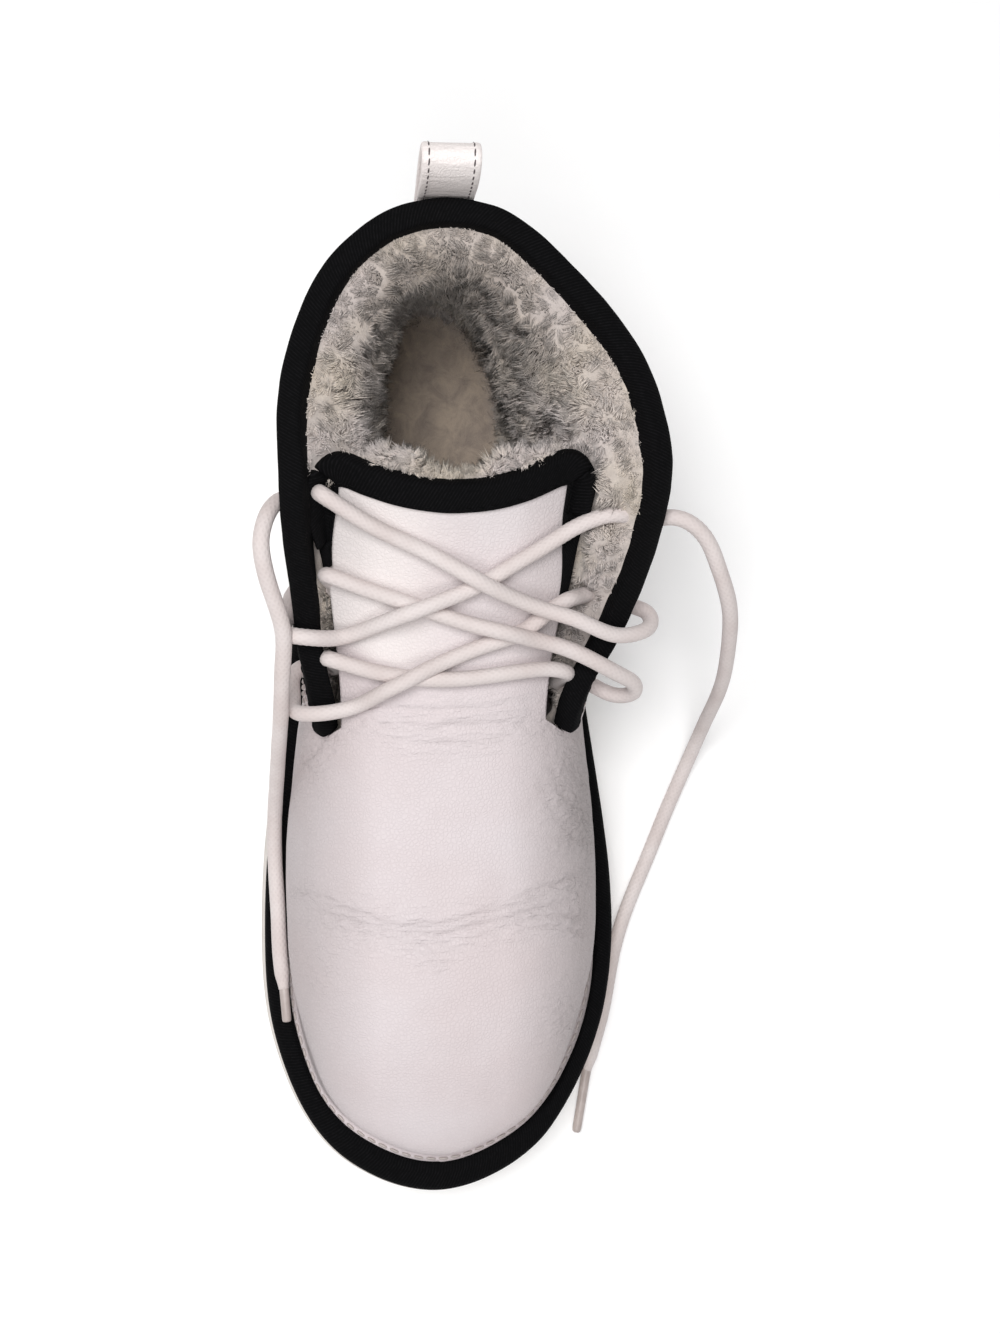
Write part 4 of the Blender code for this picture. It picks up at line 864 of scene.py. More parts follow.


# %% [markdown]
# ## White full-grain leather
# Full-grain leather keeps the animal's own surface: small rounded pebbles a millimetre across
# with fine valleys between them. The white finish is a thin pigmented film, so the leather has
# a soft satin gloss and only a faint warm, pinkish unevenness. Where the boot bends, the film
# breaks into fine wrinkles. The mesh holds the big creases, and this material adds the pebbles
# everywhere and wrinkles where the vertices say that the leather has worked.
# The material also darkens the valleys between the pebbles and between the wrinkles as painted
# shade.

# %% Leather
leather, tree, shader = finish_of("white_full_grain_leather", Roughness=0.55, IOR=1.5,
                                  Specular_IOR_Level=0.36)
place = add(tree, "TexCoord", out="Object")
drift = noise_at(tree, place, 0.004, 2.0, "Color")
drift = add(tree, "VectorMath", {"operation": "SCALE", "Scale": 0.0011}, {0: drift})
bent = add(tree, "VectorMath", {"operation": "ADD"}, {0: place, 1: drift})
pebble = add(tree, "TexVoronoi", {"feature": "DISTANCE_TO_EDGE", "Scale": 1 / 0.00115},
             {"Vector": bent},
             "Distance")
valley = levels(tree, pebble, 0.0, 0.22, interpolation_type="SMOOTHSTEP")
relief = bump(tree, valley, 0.60, 0.00012)
# painted shade: darker in the valleys between the pebbles and, below, between the wrinkles
valley_shade = levels(tree, valley, 0.0, 1.0, 0.045, 0.0)
for turn, where in ((8, "worked"), (-38, "puckered")):
    share = attribute(tree, where)
    stretch = {"Rotation": (0, 0, math.radians(turn)), "Scale": (0.20, 1.0, 0.70)}
    stretched = add(tree, "Mapping", stretch, {"Vector": bent})
    wrinkle = noise_at(tree, stretched, 0.0014, 1.0, Roughness=0.4, Distortion=0.15)
    pads = levels(tree, wrinkle, 0.25, 0.71)
    height = add(tree, "Math", {"operation": "MULTIPLY"}, {0: pads, 1: share})
    relief = bump(tree, height, 1.0, 0.00052, Normal=relief)
    valleys = add(tree, "Math", {"operation": "SUBTRACT"}, {0: share, 1: height})
    valley_shade = add(tree, "Math", {"operation": "MULTIPLY_ADD", 1: 0.11}, {0: valleys, 2: valley_shade})
warm = levels(tree, noise_at(tree, place, 0.045, 3.0), 0.35, 0.65)
film = blend(tree, warm, "dad1d3", "d5c9ca", name="film")
# partly painted light: the tongue is made lighter, most on its inner side, which faces the light;
# partly its cleaner leather
cleaned_and_lit = blend(tree, attribute(tree, "clean_and_lit"), film, "f3eeeb")
# the leather darkens towards 8f8786: mostly painted shade (pebble and wrinkle valleys, the wall's
# root, crease troughs, the side walls), with some real soil on the outer side
darkening = {0: attribute(tree, "soil_and_shade"), 1: valley_shade}
darkening = add(tree, "Math", {"operation": "ADD", "use_clamp": True}, darkening)
lead(tree, shader, Base_Color=blend(tree, darkening, cleaned_and_lit, "8f8786"),
     Roughness=levels(tree, valley, 0.0, 1.0, 0.64, 0.54), Normal=relief)
# painted light: a lighter copy of the leather for the pull loop, which otherwise stands in shade
strap_leather_painted_lighter = leather.copy()
strap_leather_painted_lighter.name = "white_strap_leather_painted_lighter"
strap_leather_painted_lighter.node_tree.nodes["film"].inputs[6].default_value = linear("f7f0ee")
strap_leather_painted_lighter.node_tree.nodes["film"].inputs[7].default_value = linear("f1e8e5")

# %% [markdown]
# ## Creases
# A boot creases where the foot bends, and always in the same way: one deep trough over the
# joint of the toes with a soft ridge before and behind it, a fainter one beside it, and fans of
# fine lines at its ends and at the corners of the throat. They are given here, in
# millimetres, as lines in plan with a depth and a width.

# %% Creases listed one by one
FLEX_LINE = ((-47, -55.5), (-37.4, -57.6), (-27.6, -60.7), (-16.4, -63.5), (-5.2, -64.7),
             (1, -64.5),
             (10.4, -62.3), (20.6, -60), (31.1, -58.2), (44.6, -57.1))
CREASES = (       # depth, half-width, ridge beside it, then the line: x, y
    (0.55, 4.6, 0.10, FLEX_LINE),
    (0.54, 1.0, 0.26, FLEX_LINE),
    (0.46, 0.9, 0.24, ((-42, -54.6), (-30, -57.4), (-18.8, -60.8), (-8.4, -62.3), (-1.1, -61.8),
                       (9.8, -59.5), (21.6, -57.1), (35.2, -54.2))),
    (0.36, 0.8, 0.20, ((-30, -62.3), (-21, -64.9), (-10, -67.0), (-1, -67.0), (8, -65.2))),
    (0.40, 0.8, 0.20, ((10, -64.5), (19, -62.6), (29, -61.2), (38, -61.5), (46, -62.8))),
    (0.36, 0.8, 0.19, ((14, -57.0), (23, -54.2), (32, -51.2), (44, -48.0))),
    (0.32, 0.7, 0.17, ((20, -63.9), (29, -63.8), (37, -65.2), (45, -68.0))),
    (0.20, 0.7, 0.12, ((-46, -51.5), (-38, -53.0), (-30, -55.2))),
    (0.24, 0.8, 0.16, ((-10.3, -67.5), (-5.2, -71.8), (-1.0, -76.7))),
    (0.22, 0.8, 0.14, ((-7.5, -65.8), (-3.2, -69.8), (0.4, -74.4))),
    (0.18, 0.8, 0.12, ((-13.5, -67.5), (-8.8, -71.5), (-5.0, -75.0))),
    (0.30, 0.9, 0.16, ((-28, -3.4), (-16, -5.6), (0, -6.6), (16, -5.6), (28, -3.6))),
    (0.24, 0.9, 0.14, ((-26, 1.6), (-14, -0.8), (2, -1.8), (16, -0.6), (27, 2.0))),
    (0.20, 0.9, 0.12, ((-20, -9.4), (-6, -11.2), (8, -11.0), (22, -9.2))),
    (0.14, 1.6, 0.08, ((33, -11.5), (36, -16.5), (40, -21.0), (45, -24.5))),
    (0.14, 1.6, 0.08, ((29, -14.5), (32, -21.5), (36, -27.5), (42, -32.5))),
    (0.12, 1.5, 0.07, ((25, -17.5), (28, -25.5), (32.5, -33.0), (39, -39.0))),
    (0.14, 1.5, 0.08, ((30, -32.5), (36, -33.4), (42, -33.0), (47, -31.5))),
    (0.12, 1.5, 0.07, ((28, -39.0), (35, -38.4), (42, -39.5), (48, -42.0))),
    (0.24, 0.9, 0.14, ((-34, -6.5), (-37, -12.0), (-42, -16.5))),
)


def crease_depth(points):
    """How far each point is pushed in, in metres, how worked the leather is and how much painted
    shade darkens its troughs.
    """
    plan = (points - SHIFT)[:, :2] / MM
    wander = np.stack([grain(points, 0.009), grain(points + 0.37, 0.009)], -1) * 0.45
    plan = plan + wander
    pushed = np.zeros(len(points))
    worked = np.zeros(len(points))
    trough_shade = np.zeros(len(points))
    for depth, wide, ridge, line in CREASES:
        line = smooth_path(np.array(line, float), 32)
        best = np.full(len(points), 1e9)
        sided = np.zeros(len(points))
        part = np.zeros(len(points))             # how far along the line, from 0 to 1
        for i in range(len(line) - 1):
            a, step = line[i], line[i + 1] - line[i]
            t = np.clip(((plan - a) @ step) / (step @ step), 0, 1)
            off = plan - a - t[:, None] * step
            d = np.linalg.norm(off, axis=1)
            nearer = d < best
            best = np.where(nearer, d, best)
            sided = np.where(nearer, np.sign(step[0] * off[:, 1] - step[1] * off[:, 0]), sided)
            part = np.where(nearer, (i + t) / (len(line) - 1), part)
        fade = ease(part / 0.22) * ease((1 - part) / 0.22)
        uneven = 1 + 0.35 * grain(points, 0.009)
        trough = np.exp(-(best / wide) ** 2)
        beside = np.exp(-((best - 2.1 * wide) / (1.1 * wide)) ** 2) * np.where(sided > 0, 1.0, 0.65)
        pushed += MM * fade * uneven * (-depth * trough + ridge * beside)
        near = np.exp(-(best / (1.2 * wide + 2.2)) ** 2)
        worked = np.maximum(worked, fade * near * min(0.8, 0.35 + depth))
        # painted shade in the creases' troughs
        trough_shade = np.maximum(trough_shade, fade * trough * depth * (0.15 if wide < 2 else 0.04))
    return pushed, worked, trough_shade


# %% [markdown]
# ## Vamp and tongue
# The vamp is a sheet of leather pulled over the last, folded out at the bottom into a flange
# and stitched to the sole's edge. The quarters lie over its sides. Its grid follows the
# sections of the boot, and the tongue's grid starts from the same row of points, so the two
# join into one skin.

# %% Vamp and tongue
def spread(*parts):
    """Rows or columns: from, to, count for each part, without doubles."""
    return np.unique(np.round(np.concatenate([np.linspace(a, b, n) for a, b, n in parts]), 6))


ROOT_SHADE_HIGH = 0.0015          # painted shade reaches this high where the wall meets the flange
LOW_ROWS = spread((0, 1, 3), (1, 2, 6), (2, 4, 11), (4, 8, 38))
grids = []
for side in (1, -1):
    k = spread((0, 8, 60), (8, 16, 130), (16, 16.35, 4))[:, None]
    grids.append(surface(side, swept(k, LOW_ROWS[None]), LOW_ROWS[None]))
    k = spread((0, 8, 60), (8, 16, 130))[:, None]
    high = spread((8, TONGUE_ROW[side], 9), (TONGUE_ROW[side], 13, 44))
    grids.append(surface(side, swept(k, high[None]), high[None]))
    across = side * abs(grids[-1][-1, high >= TONGUE_ROW[side] - 1e-6, 0]
                        - MIDDLE_X) / TONGUE_BASE_HALF
    up_to = 1 - tongue_dip(across) - 0.004
    grids.append(tongue_at(across[:, None], np.linspace(0, 1, 78)[None] * up_to[:, None]))
for one, other in ((grids[0], grids[3]), (grids[1], grids[4])):
    one[0, :, 0] = 0.5 * (one[0, :, 0] + other[0, :, 0])
    other[0] = one[0]
mesh = patchwork("vamp_and_tongue", grids)
places = points_of(mesh)
pushed, worked, trough_shade = crease_depth(places)
height = (places[:, 2] - 0.030) / 0.012
on_tongue = ease((places[:, 1] - 0.004) / 0.01) * ease((places[:, 2] - 0.085) / 0.004)
slack = 0.00035 * grain(places, 0.028) + 0.00012 * grain(places, 0.009)
across, ahead = (places - SHIFT)[:, 0] / MM, (places - SHIFT)[:, 1] / MM
patchy = 0.75 + 0.5 * grain(places, 0.011)


def patch(x, y, wide, long):
    """A soft patch in plan, from 0 to 1."""
    return np.exp(-(((across - x) / wide) ** 2 + ((ahead - y) / long) ** 2))


PUCKERS = (       # fields of fine wrinkles: strength, then middle and half size in plan
    (0.95, 37, -30, 13, 21), (0.70, 36, -92, 10, 24), (0.45, -39, -14, 9, 14),
    (0.70, 38, -52, 12, 14), (0.40, -36, -74, 8, 12),
)
throat_band = np.exp(-((ahead + 4.5) / 8.0) ** 2) * (places[:, 2] > 0.055) * (1 - on_tongue)
worked = np.maximum.reduce([worked, 0.80 * patchy * throat_band,
                            0.40 * patchy * patch(28, -56, 20, 11)])
puckered = patchy * np.maximum.reduce([strength * patch(*where) for strength, *where in PUCKERS])
slimmer = -0.0013 * patch(44, -88, 13, 24) * ease((0.075 - places[:, 2]) / 0.02)
ripples = 0.00010 * puckered * grain(places * [1.0, 0.6, 0.8], 0.0042)
push(mesh, np.clip(height, 0, 1) * (pushed + slack + slimmer + ripples))
record_on(mesh, "worked", np.clip(worked, 0, 1))
record_on(mesh, "puckered", np.clip(puckered, 0, 1))
# partly painted light: lighter over the tongue, most towards its inner, lit side; partly cleaner
# leather
record_on(mesh, "clean_and_lit", np.clip(on_tongue, 0, 1) * (0.14 + 0.44 * ease((6 - across) / 26)))
# painted shade: a dark line along the wall's root, where it meets the flange
root_shade = 0.85 * np.exp(-((places[:, 2] - 0.0283) / ROOT_SHADE_HIGH) ** 2)
root_shade = root_shade * (0.75 + 0.25 * grain(places, 0.004)).clip(0, 1)
# painted shade: both side walls darken away from the middle; the patch on the outer side is partly
# real soil
side_shade_and_soil = 0.20 * patch(41, -28, 12, 25) + 0.52 * np.clip((across - 17) / 24, 0, 1)
side_shade_and_soil = (side_shade_and_soil + 0.42 * np.clip((-across - 20) / 20, 0, 1)) * ease((ahead + 128) / 14)
record_on(mesh, "soil_and_shade", np.clip(np.maximum(root_shade, side_shade_and_soil) + trough_shade, 0, 1))
vamp = publish("vamp_and_tongue", mesh, leather, outside=False)
thicken(vamp, 0.0016)
stand_for(vamp, "leather", "upper", "tongue")
print("vamp and tongue: %d vertices" % len(mesh.vertices))


# %% [markdown]
# ## Stitches
# A lockstitch shows as a row of short, slightly arched threads, each sinking into the leather
# at both ends. Every stitch here is a small spindle with six sides, set along a line on the
# surface, and a whole seam is one mesh.

# %% Stitches
SPINDLE_AT = np.array([-0.5, -0.36, -0.12, 0.12, 0.36, 0.5])
SPINDLE_WIDE = np.array([0.35, 0.85, 1.0, 1.0, 0.85, 0.35])
SPINDLE_ARCH = np.array([-0.55, 0.0, 0.28, 0.28, 0.0, -0.55])


def seam(name, lines, look, slot, length=0.0026, gap=0.0009, wide=0.00036, sink=0.0001):
    """A row of stitches along each line of (points, upward normals)."""
    points, polygons = [], []
    turn = 2 * math.pi * np.arange(6) / 6
    for path, up in lines:
        at = along(path)
        count = int((at[-1] - gap) / (length + gap))
        starts = (np.arange(count) + 0.5) * at[-1] / count
        place = np.stack([np.interp(starts, at, path[:, i]) for i in range(3)], -1)
        ahead = np.gradient(path, axis=0)
        t = np.stack([np.interp(starts, at, ahead[:, i]) for i in range(3)], -1)
        t /= np.linalg.norm(t, axis=1, keepdims=True)
        n = np.stack([np.interp(starts, at, up[:, i]) for i in range(3)], -1)
        n -= (n * t).sum(1, keepdims=True) * t
        n /= np.linalg.norm(n, axis=1, keepdims=True)
        b = np.cross(t, n)
        for i in range(count):
            first = sum(len(p) for p in points)
            spine = (place[i] + SPINDLE_AT[:, None] * length * (t[i] + 0.06 * b[i])
                     + (SPINDLE_ARCH * wide - sink)[:, None] * n[i])
            ring = spine[:, None] + wide * SPINDLE_WIDE[:, None, None] * (
                np.cos(turn)[None, :, None] * b[i] + np.sin(turn)[None, :, None] * n[i])
            faces, _ = quads(6, 6, False, True)
            polygons += (faces + first).tolist() + [list(range(first, first + 6)),
                                                    list(range(first + 30, first + 36))[::-1]]
            points.append(ring.reshape(-1, 3) + SHIFT)
    mesh = bpy.data.meshes.new(name)
    mesh.from_pydata(np.vstack(points).tolist(), [], polygons)
    obj = publish(name, mesh, look)
    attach(obj, "root")
    print("%s: %d stitches" % (name, len(points)))
    return obj


# Bonded polyester thread: a hard twisted cord with a slight lustre.
def thread_of(name, code):
    look, tree, shader = finish_of(name, Roughness=0.55, IOR=1.5)
    twist = noise_at(tree, add(tree, "TexCoord", out="Object"), 0.0007, 2.0)
    dark = tuple(0.62 * c for c in linear(code)[:3]) + (1.0,)
    tint = add(tree, "Mix", {"data_type": "RGBA", 6: dark, 7: linear(code)}, {0: twist}, 2)
    lead(tree, shader, Base_Color=tint)
    return look


white_thread = thread_of("bonded_thread_white", "cfc4c0")
dark_thread = thread_of("bonded_thread_grey", "5d5456")
black_thread = thread_of("bonded_thread_black", "0b0b0c")
black_thread.node_tree.nodes["Principled BSDF"].inputs["Specular IOR Level"].default_value = 0.05


# %% [markdown]
# ## Quarters
# The quarters are the two sides that stand up round the ankle and carry the lacing holes. They
# lie over the vamp and are stitched to it with two rows along their front edge, and they meet
# in one upright seam at the heel. The holes are punched: vertices inside each circle are taken
# out and those left at its edge are drawn on to the circle.

# %% Quarters
def quarter_grid(side, k, rows):
    """Points of one quarter, which stands its own thickness over the vamp."""
    station = swept(k[:, None], rows[None])
    lift = OVERLAY * ease((rows[None] - 2.0) / 0.6)
    return surface(side, station, rows[None]) + lift[..., None] * outward(side, station, rows[None])


QUARTER_K = spread((16, 27, 120), (27, 34, 64))
mesh = patchwork("quarters", [quarter_grid(side, QUARTER_K, LOW_ROWS) for side in (1, -1)])
places = points_of(mesh)
plan = places - SHIFT
height = np.clip((places[:, 2] - 0.034) / 0.012, 0, 1)
slack = 0.0006 * grain(places, 0.034) + 0.0003 * grain(places * [1, 1, 1.6], 0.014)
off_seam, at_back = abs(plan[:, 0] - MIDDLE_X), plan[:, 1] > 0.09
seam_line = np.exp(-(off_seam / 0.0007) ** 2) * at_back
beside = np.exp(-((off_seam - 0.0022) / 0.0013) ** 2) * at_back
ankle = np.exp(-((places[:, 2] - 0.074) / 0.016) ** 2)
ankle = ankle * np.exp(-((plan[:, 1] - 0.035) / 0.035) ** 2)
folds = 0.0007 * ankle * np.sin((places[:, 2] - 0.25 * plan[:, 1] + 0.004 * grain(places, 0.02))
                                / 0.0021)
push(mesh, height * (slack + folds) - 0.0007 * seam_line + 0.0003 * beside)
record_on(mesh, "worked", np.clip(0.55 * ankle + 0.25 * height * (grain(places, 0.02) > 0.2), 0, 1))
# painted shade: a dark line along the quarters' root, where they meet the flange
root_shade = 0.45 * np.exp(-((places[:, 2] - 0.0286) / ROOT_SHADE_HIGH) ** 2)
# painted shade: an even grey over the quarters, carrying on the vamp's painted side shade, with
# random patches and the root's shade
record_on(mesh, "soil_and_shade", np.clip(0.20 + 0.10 * grain(places, 0.03) + root_shade, 0, 1))
work = bmesh.new()
work.from_mesh(mesh)
for point, normal in eyelets.values():
    centre, out = Vector(point + OVERLAY * normal + SHIFT), Vector(normal)
    near = [v for v in work.verts if (v.co - centre).length < 3 * EYELET_RADIUS]
    flat = {v: (v.co - centre) - (v.co - centre).dot(out) * out for v in near}
    gone = [v for v in near if flat[v].length < EYELET_RADIUS]
    rim_verts = {e.other_vert(v) for v in gone for e in v.link_edges} - set(gone)
    for v in rim_verts:
        v.co += flat[v] * (EYELET_RADIUS / flat[v].length - 1)
    bmesh.ops.delete(work, geom=gone, context="VERTS")
work.to_mesh(mesh)
work.free()
quarters = publish("quarters", mesh, leather, outside=False)
thicken(quarters, 0.0014)
stand_for(quarters, "leather", "upper")

lines = []
for side in (1, -1):
    rows = np.linspace(2.35, 7.8, 120)
    for inset in (0.0022, 0.0046):
        k = 16 + inset / np.interp(rows, (2, 8), (0.0052, 0.0046))
        station = swept(k, rows)
        normal = outward(side, station, rows)
        lines.append((surface(side, station, rows) + (OVERLAY + 0.0002) * normal, normal))
seam("quarter_seams", lines, white_thread, "leather", length=0.0022, gap=0.0007, wide=0.0003)


# %% [markdown]
# ## Black woven tape
# A binding is a narrow woven tape folded over a raw edge and sewn through. The tape is a dense
# herringbone twill in black polyester: under light it shows fine slanting ribs, less than a
# millimetre apart, and a dull sheen. The ribs are a bump from the strip's own UV, so they keep
# their slant round every bend.

# %% Tape material
tape_cloth, tree, shader = finish_of("black_woven_tape", Roughness=0.88, IOR=1.5,
                                     Specular_IOR_Level=0.10)
ribs = bands(tree, 28, 0.00013, {
    "Distortion": 1.2, "Detail": 2.0, "Detail Scale": 3.0, "Detail Roughness": 0.6})
lint = noise_at(tree, add(tree, "TexCoord", out="Object"), 0.0011, 3.0, Roughness=0.7)
weave = add(tree, "Math", {"operation": "MULTIPLY"}, {0: ribs, 1: lint})
# partly painted highlight: the ribs' crests are lighter; partly lint
lint_and_rib_highlight = levels(tree, weave, 0.25, 0.62)
lead(tree, shader, Base_Color=blend(tree, lint_and_rib_highlight, "040405", "121113"),
     Normal=bump(tree, weave, 0.7, 0.00014))

# %% [markdown]
# ## Bindings on the collar and the tongue
# Each binding is a folded section carried along an edge. The section has an outer leg, a
# rounded fold over the edge and an inner leg. Tape puckers a little where it turns, so its
# surface is nudged by soft noise.

# %% Folded tape
OUTER_LEG = (         # share of the leg's depth, share of the tape's thickness
    (1.0, 0.25), (1.01, 0.75), (0.95, 1.0), (0.75, 1.12), (0.5, 1.15), (0.25, 1.08), (0.06, 1.0))
INNER_LEG = ((0.06, 1.0), (0.25, 1.08), (0.5, 1.12), (0.75, 1.08), (0.95, 1.0), (1.01, 0.7),
             (1.0, 0.2))


def folded(rim, step, normal, low_normal, past, over, under):
    """Rings of a tape folded over an edge. step leads from the edge to where each leg ends."""
    mid, half = 0.5 * (over + under), 0.5 * (over - under) + GAP + TAPE
    # share of the leg's depth, height over the wall, how far past
    shape = [(d, over + GAP + TAPE * puff, 0.0) for d, puff in OUTER_LEG]
    for turn in np.linspace(0, math.pi, 11)[1:-1]:
        shape.append((0.0, mid + half * math.cos(turn), (GAP + 1.2 * TAPE) * math.sin(turn) ** 0.7))
    shape += [(d, under - GAP - TAPE * puff, 0.0) for d, puff in INNER_LEG]
    shape += [(0.5, under - GAP, 0.0), (0.0, under - GAP, 0.0), (0.0, over + GAP, 0.0),
              (0.5, over + GAP, 0.0)]
    rings = []
    for d, lift, beyond in shape:
        n = normal + d * (low_normal - normal)
        rings.append(rim + d * step + lift * n + beyond * past)
    rings = np.stack(rings, 1)
    nudge = grain(rings.reshape(-1, 3), 0.007).reshape(rings.shape[:2]) * 0.00016
    return rings + nudge[..., None] * (0.5 * (normal + low_normal))[:, None]


COLLAR_LEG = 0.0080


def collar_edge(side, k):
    """Edge, step to the end of the leg, normals and the way past the edge, along the quarters."""
    rim, normal = surface(side, k, 8.0), outward(side, k, 8.0)
    low_k = swept(k, np.full_like(k, 7.0))
    lower, low_normal = surface(side, low_k, 7.0), outward(side, low_k, 7.0)
    ahead = surface(side, np.minimum(k + 0.2, AT_BACK), 8.0) - surface(side, k - 0.2, 8.0)
    ahead /= np.linalg.norm(ahead, axis=1, keepdims=True)
    past = rim - lower
    past -= (past * ahead).sum(1, keepdims=True) * ahead
    past -= (past * normal).sum(1, keepdims=True) * normal
    drop = np.linalg.norm(past, axis=1, keepdims=True)
    share = np.minimum(COLLAR_LEG / drop, 1.0)
    return rim, share * (lower - rim), normal, normal + share * (low_normal - normal), past / drop


def tucked(ring, following, shares):
    """Rings that close a tape's end: drawn in to these shares and a millimetre further out."""
    middle, ahead = ring.mean(0), (following - ring).mean(0)
    return [middle + (ring - middle) * s - 0.0011 * (1 - s) * ahead / np.linalg.norm(ahead)
            for s in shares]


outer, inner = [collar_edge(side, spread((16.3, 27, 190), (27, 34, 110))) for side in (1, -1)]
edge = [np.vstack([a, b[::-1][1:]]) for a, b in zip(outer, inner)]
rings = folded(*edge, OVERLAY, -WALL)
rings = np.concatenate([tucked(rings[0], rings[1], (0.55, 0.85)), rings,
                        tucked(rings[-1], rings[-2], (0.85, 0.55))])
stand_for(strip("collar_tape", rings, tape_cloth), "tape", "collar_binding")
rim, step, normal, low_normal, _ = edge
seam("collar_tape_stitches", [(rim + 0.80 * step + (OVERLAY + GAP + 1.08 * TAPE) * low_normal,
                               low_normal)],
     black_thread, "tape", wide=0.00030)
print("collar tape: %.0f mm" % (along(rim)[-1] / MM))

WIDE_AT_TOP = 0.116          # the tape's width as a share of the tongue's height


def down_side(side, lowest):
    """The tape's edge and its inner line up one side of the tongue and round the corner."""
    corner = 1 - CORNER_B - float(tongue_dip(side * (1 - CORNER_A)))
    b = np.linspace(lowest, corner, 40)
    wide = 0.045 + 0.095 * ease((b - lowest) / 0.30)
    flare = 1 + (0.105 if side < 0 else 0.035) * ease((b - 0.60) / 0.28)
    rows = [(side * f, v, side * (1 - w), v) for v, w, f in zip(b, wide, flare)]
    for turn in np.linspace(0, math.pi / 2, 14)[1:-1]:
        a = side * (1 - CORNER_A + CORNER_A * math.cos(turn))
        out = a * (1 + (flare[-1] - 1) * math.cos(turn))
        rows.append((out, 1 - float(tongue_dip(a)), side * (0.86 - 0.03 * math.sin(turn)),
                     corner - 0.012))
    return rows


straight = 1 - CORNER_A
top = [(a, 1 - tongue_dip(a), a * 0.985, 1 - tongue_dip(a * 0.985) - WIDE_AT_TOP)
       for a in np.linspace(-straight, straight, 100)]
way_round = np.array(down_side(-1, 0.60) + top + down_side(1, 0.47)[::-1], float)
(rim, normal), (below, low_normal) = [
    (tongue_at(*line), tongue_out(*line)) for line in (way_round.T[:2], way_round.T[2:])]
past = rim - below
past -= (past * normal).sum(1, keepdims=True) * normal
past /= np.linalg.norm(past, axis=1, keepdims=True)
rings = folded(rim, below - rim, normal, low_normal, past, 0.0, -WALL)
stand_for(strip("tongue_tape", rings, tape_cloth), "tape", "tongue_binding")
inset = rim + 0.82 * (below - rim) + (GAP + 1.08 * TAPE) * low_normal
seam("tongue_tape_stitches", [(inset, low_normal)], black_thread, "tape", wide=0.00028)


# %% [markdown]
# ## The welt
# Where the upper meets the sole, its flange and a second tape are stitched down together. The
# tape wraps the flange's edge as a broad black band round the whole boot. A narrow strip of
# white leather stays between the tape and the wall, with the stitches in it.

# %% Welt tape and welt stitches
ROUND_K = {1: spread((0, 8, 84), (8, 16, 64), (16, 27, 90), (27, 34, 72))}
ROUND_K[-1] = ROUND_K[1][::-1][1:-1]
outer, inner = [at_section(side, ROUND_K[side]) for side in (1, -1)]
ring_at = {name: np.concatenate([outer[name], inner[name]]) for name in outer}


def ring_points(r, z):
    """Points round the boot at radii r and heights z, one for each section."""
    plan = np.stack([np.full_like(ring_at["y"], MIDDLE_X), ring_at["y"]], -1)
    plan = plan + np.asarray(r)[:, None] * ring_at["way"]
    return np.concatenate([plan, np.broadcast_to(z, ring_at["y"].shape)[:, None]], 1)


out, low = ring_at["ring"], ring_at["land"] + GAP
along_side = ring_points(out, 0.0)[:, 1] / MM
bared = np.where(ring_at["way"][:, 0] > 0, 0.0017, 0.0004) * np.exp(-((along_side + 95) / 36) ** 2)
lip, top = out - ring_at["lip"] + bared, ring_at["flange_top"] + GAP + RING_TAPE
profile = [(lip + 0.0003, low), (out - 0.0010, low), (out - 0.0003, low + 0.0004),
           (out + 0.0002, low + 0.0022),
           (out + 0.0001, top - 0.0022), (out - 0.0003, top - 0.0010),
           (out - 0.0012, top - 0.0001), (out - 0.0026, top + 0.0003),
           (out - 0.0042, top + 0.0003), (out - 0.0056, top + 0.0001),
           (lip + 0.0009, top - 0.0001), (lip + 0.0001, top - 0.0005), (lip, top - 0.0011),
           (out - 0.0024, top - 0.0012), (out - 0.0016, top - 0.0014),
           (out - 0.0014, low + 0.0014), (out - 0.0024, low + 0.0012),
           (lip, low + 0.0012), (lip - 0.0001, low + 0.0006)]
rings = np.stack([ring_points(r, z) for r, z in profile], 1)
nudge = grain(rings.reshape(-1, 3), 0.010).reshape(rings.shape[:2]) * 0.00022
rings[..., 2] += nudge
stand_for(strip("welt_tape", rings, tape_cloth, path_closed=True), "tape", "welt_binding")
strip_r = lip - 0.5 * (lip - ring_at["seam"] - 0.0010)
line = ring_points(strip_r, ring_at["flange_top"] + 0.0002)
line = np.vstack([line, line[:1]])
up = np.zeros_like(line)
up[:, 2] = 1.0
seam("welt_stitches", [(line, up)], white_thread, "leather", length=0.0030, gap=0.0008,
     wide=0.00042)


# %% [markdown]
# ## The sole
# The sole is moulded in one piece of off-white EVA rubber: light, slightly soft, with the matt
# skin of the mould. Its side is split by a shallow groove, and the tread is cut across with
# curved grooves. It is built as rings of one profile round the boot.

# %% Sole
rubber, tree, shader = finish_of("moulded_white_eva", Roughness=0.62, IOR=1.48)
place = add(tree, "TexCoord", out="Object")
skin = noise_at(tree, place, 0.0007, 3.0)
scuff = levels(tree, noise_at(tree, place, 0.016, 5.0, Roughness=0.65), 0.45, 0.72)
height = add(tree, "SeparateXYZ", links={"Vector": place}, out="Z")
near_floor = levels(tree, height, 0.0, 0.012, 0.9, 0.15)
dirty = add(tree, "Math", {"operation": "MULTIPLY"}, {0: near_floor, 1: scuff})
lead(tree, shader, Base_Color=blend(tree, dirty, "dcd6d0", "8f877e"),
     Normal=bump(tree, skin, 0.35, 0.00012))


def sole_bottom(y):
    """Height of the tread: flat at the ball and the heel, raised at toe, arch and back."""
    toe = 0.0085 * np.maximum((-0.095 - y) / 0.050, 0) ** 1.8
    back = 0.0025 * np.maximum((y - 0.120) / 0.025, 0) ** 2
    return toe + back + 0.0022 * np.sin(math.pi * np.clip((y + 0.035) / 0.100, 0, 1)) ** 2


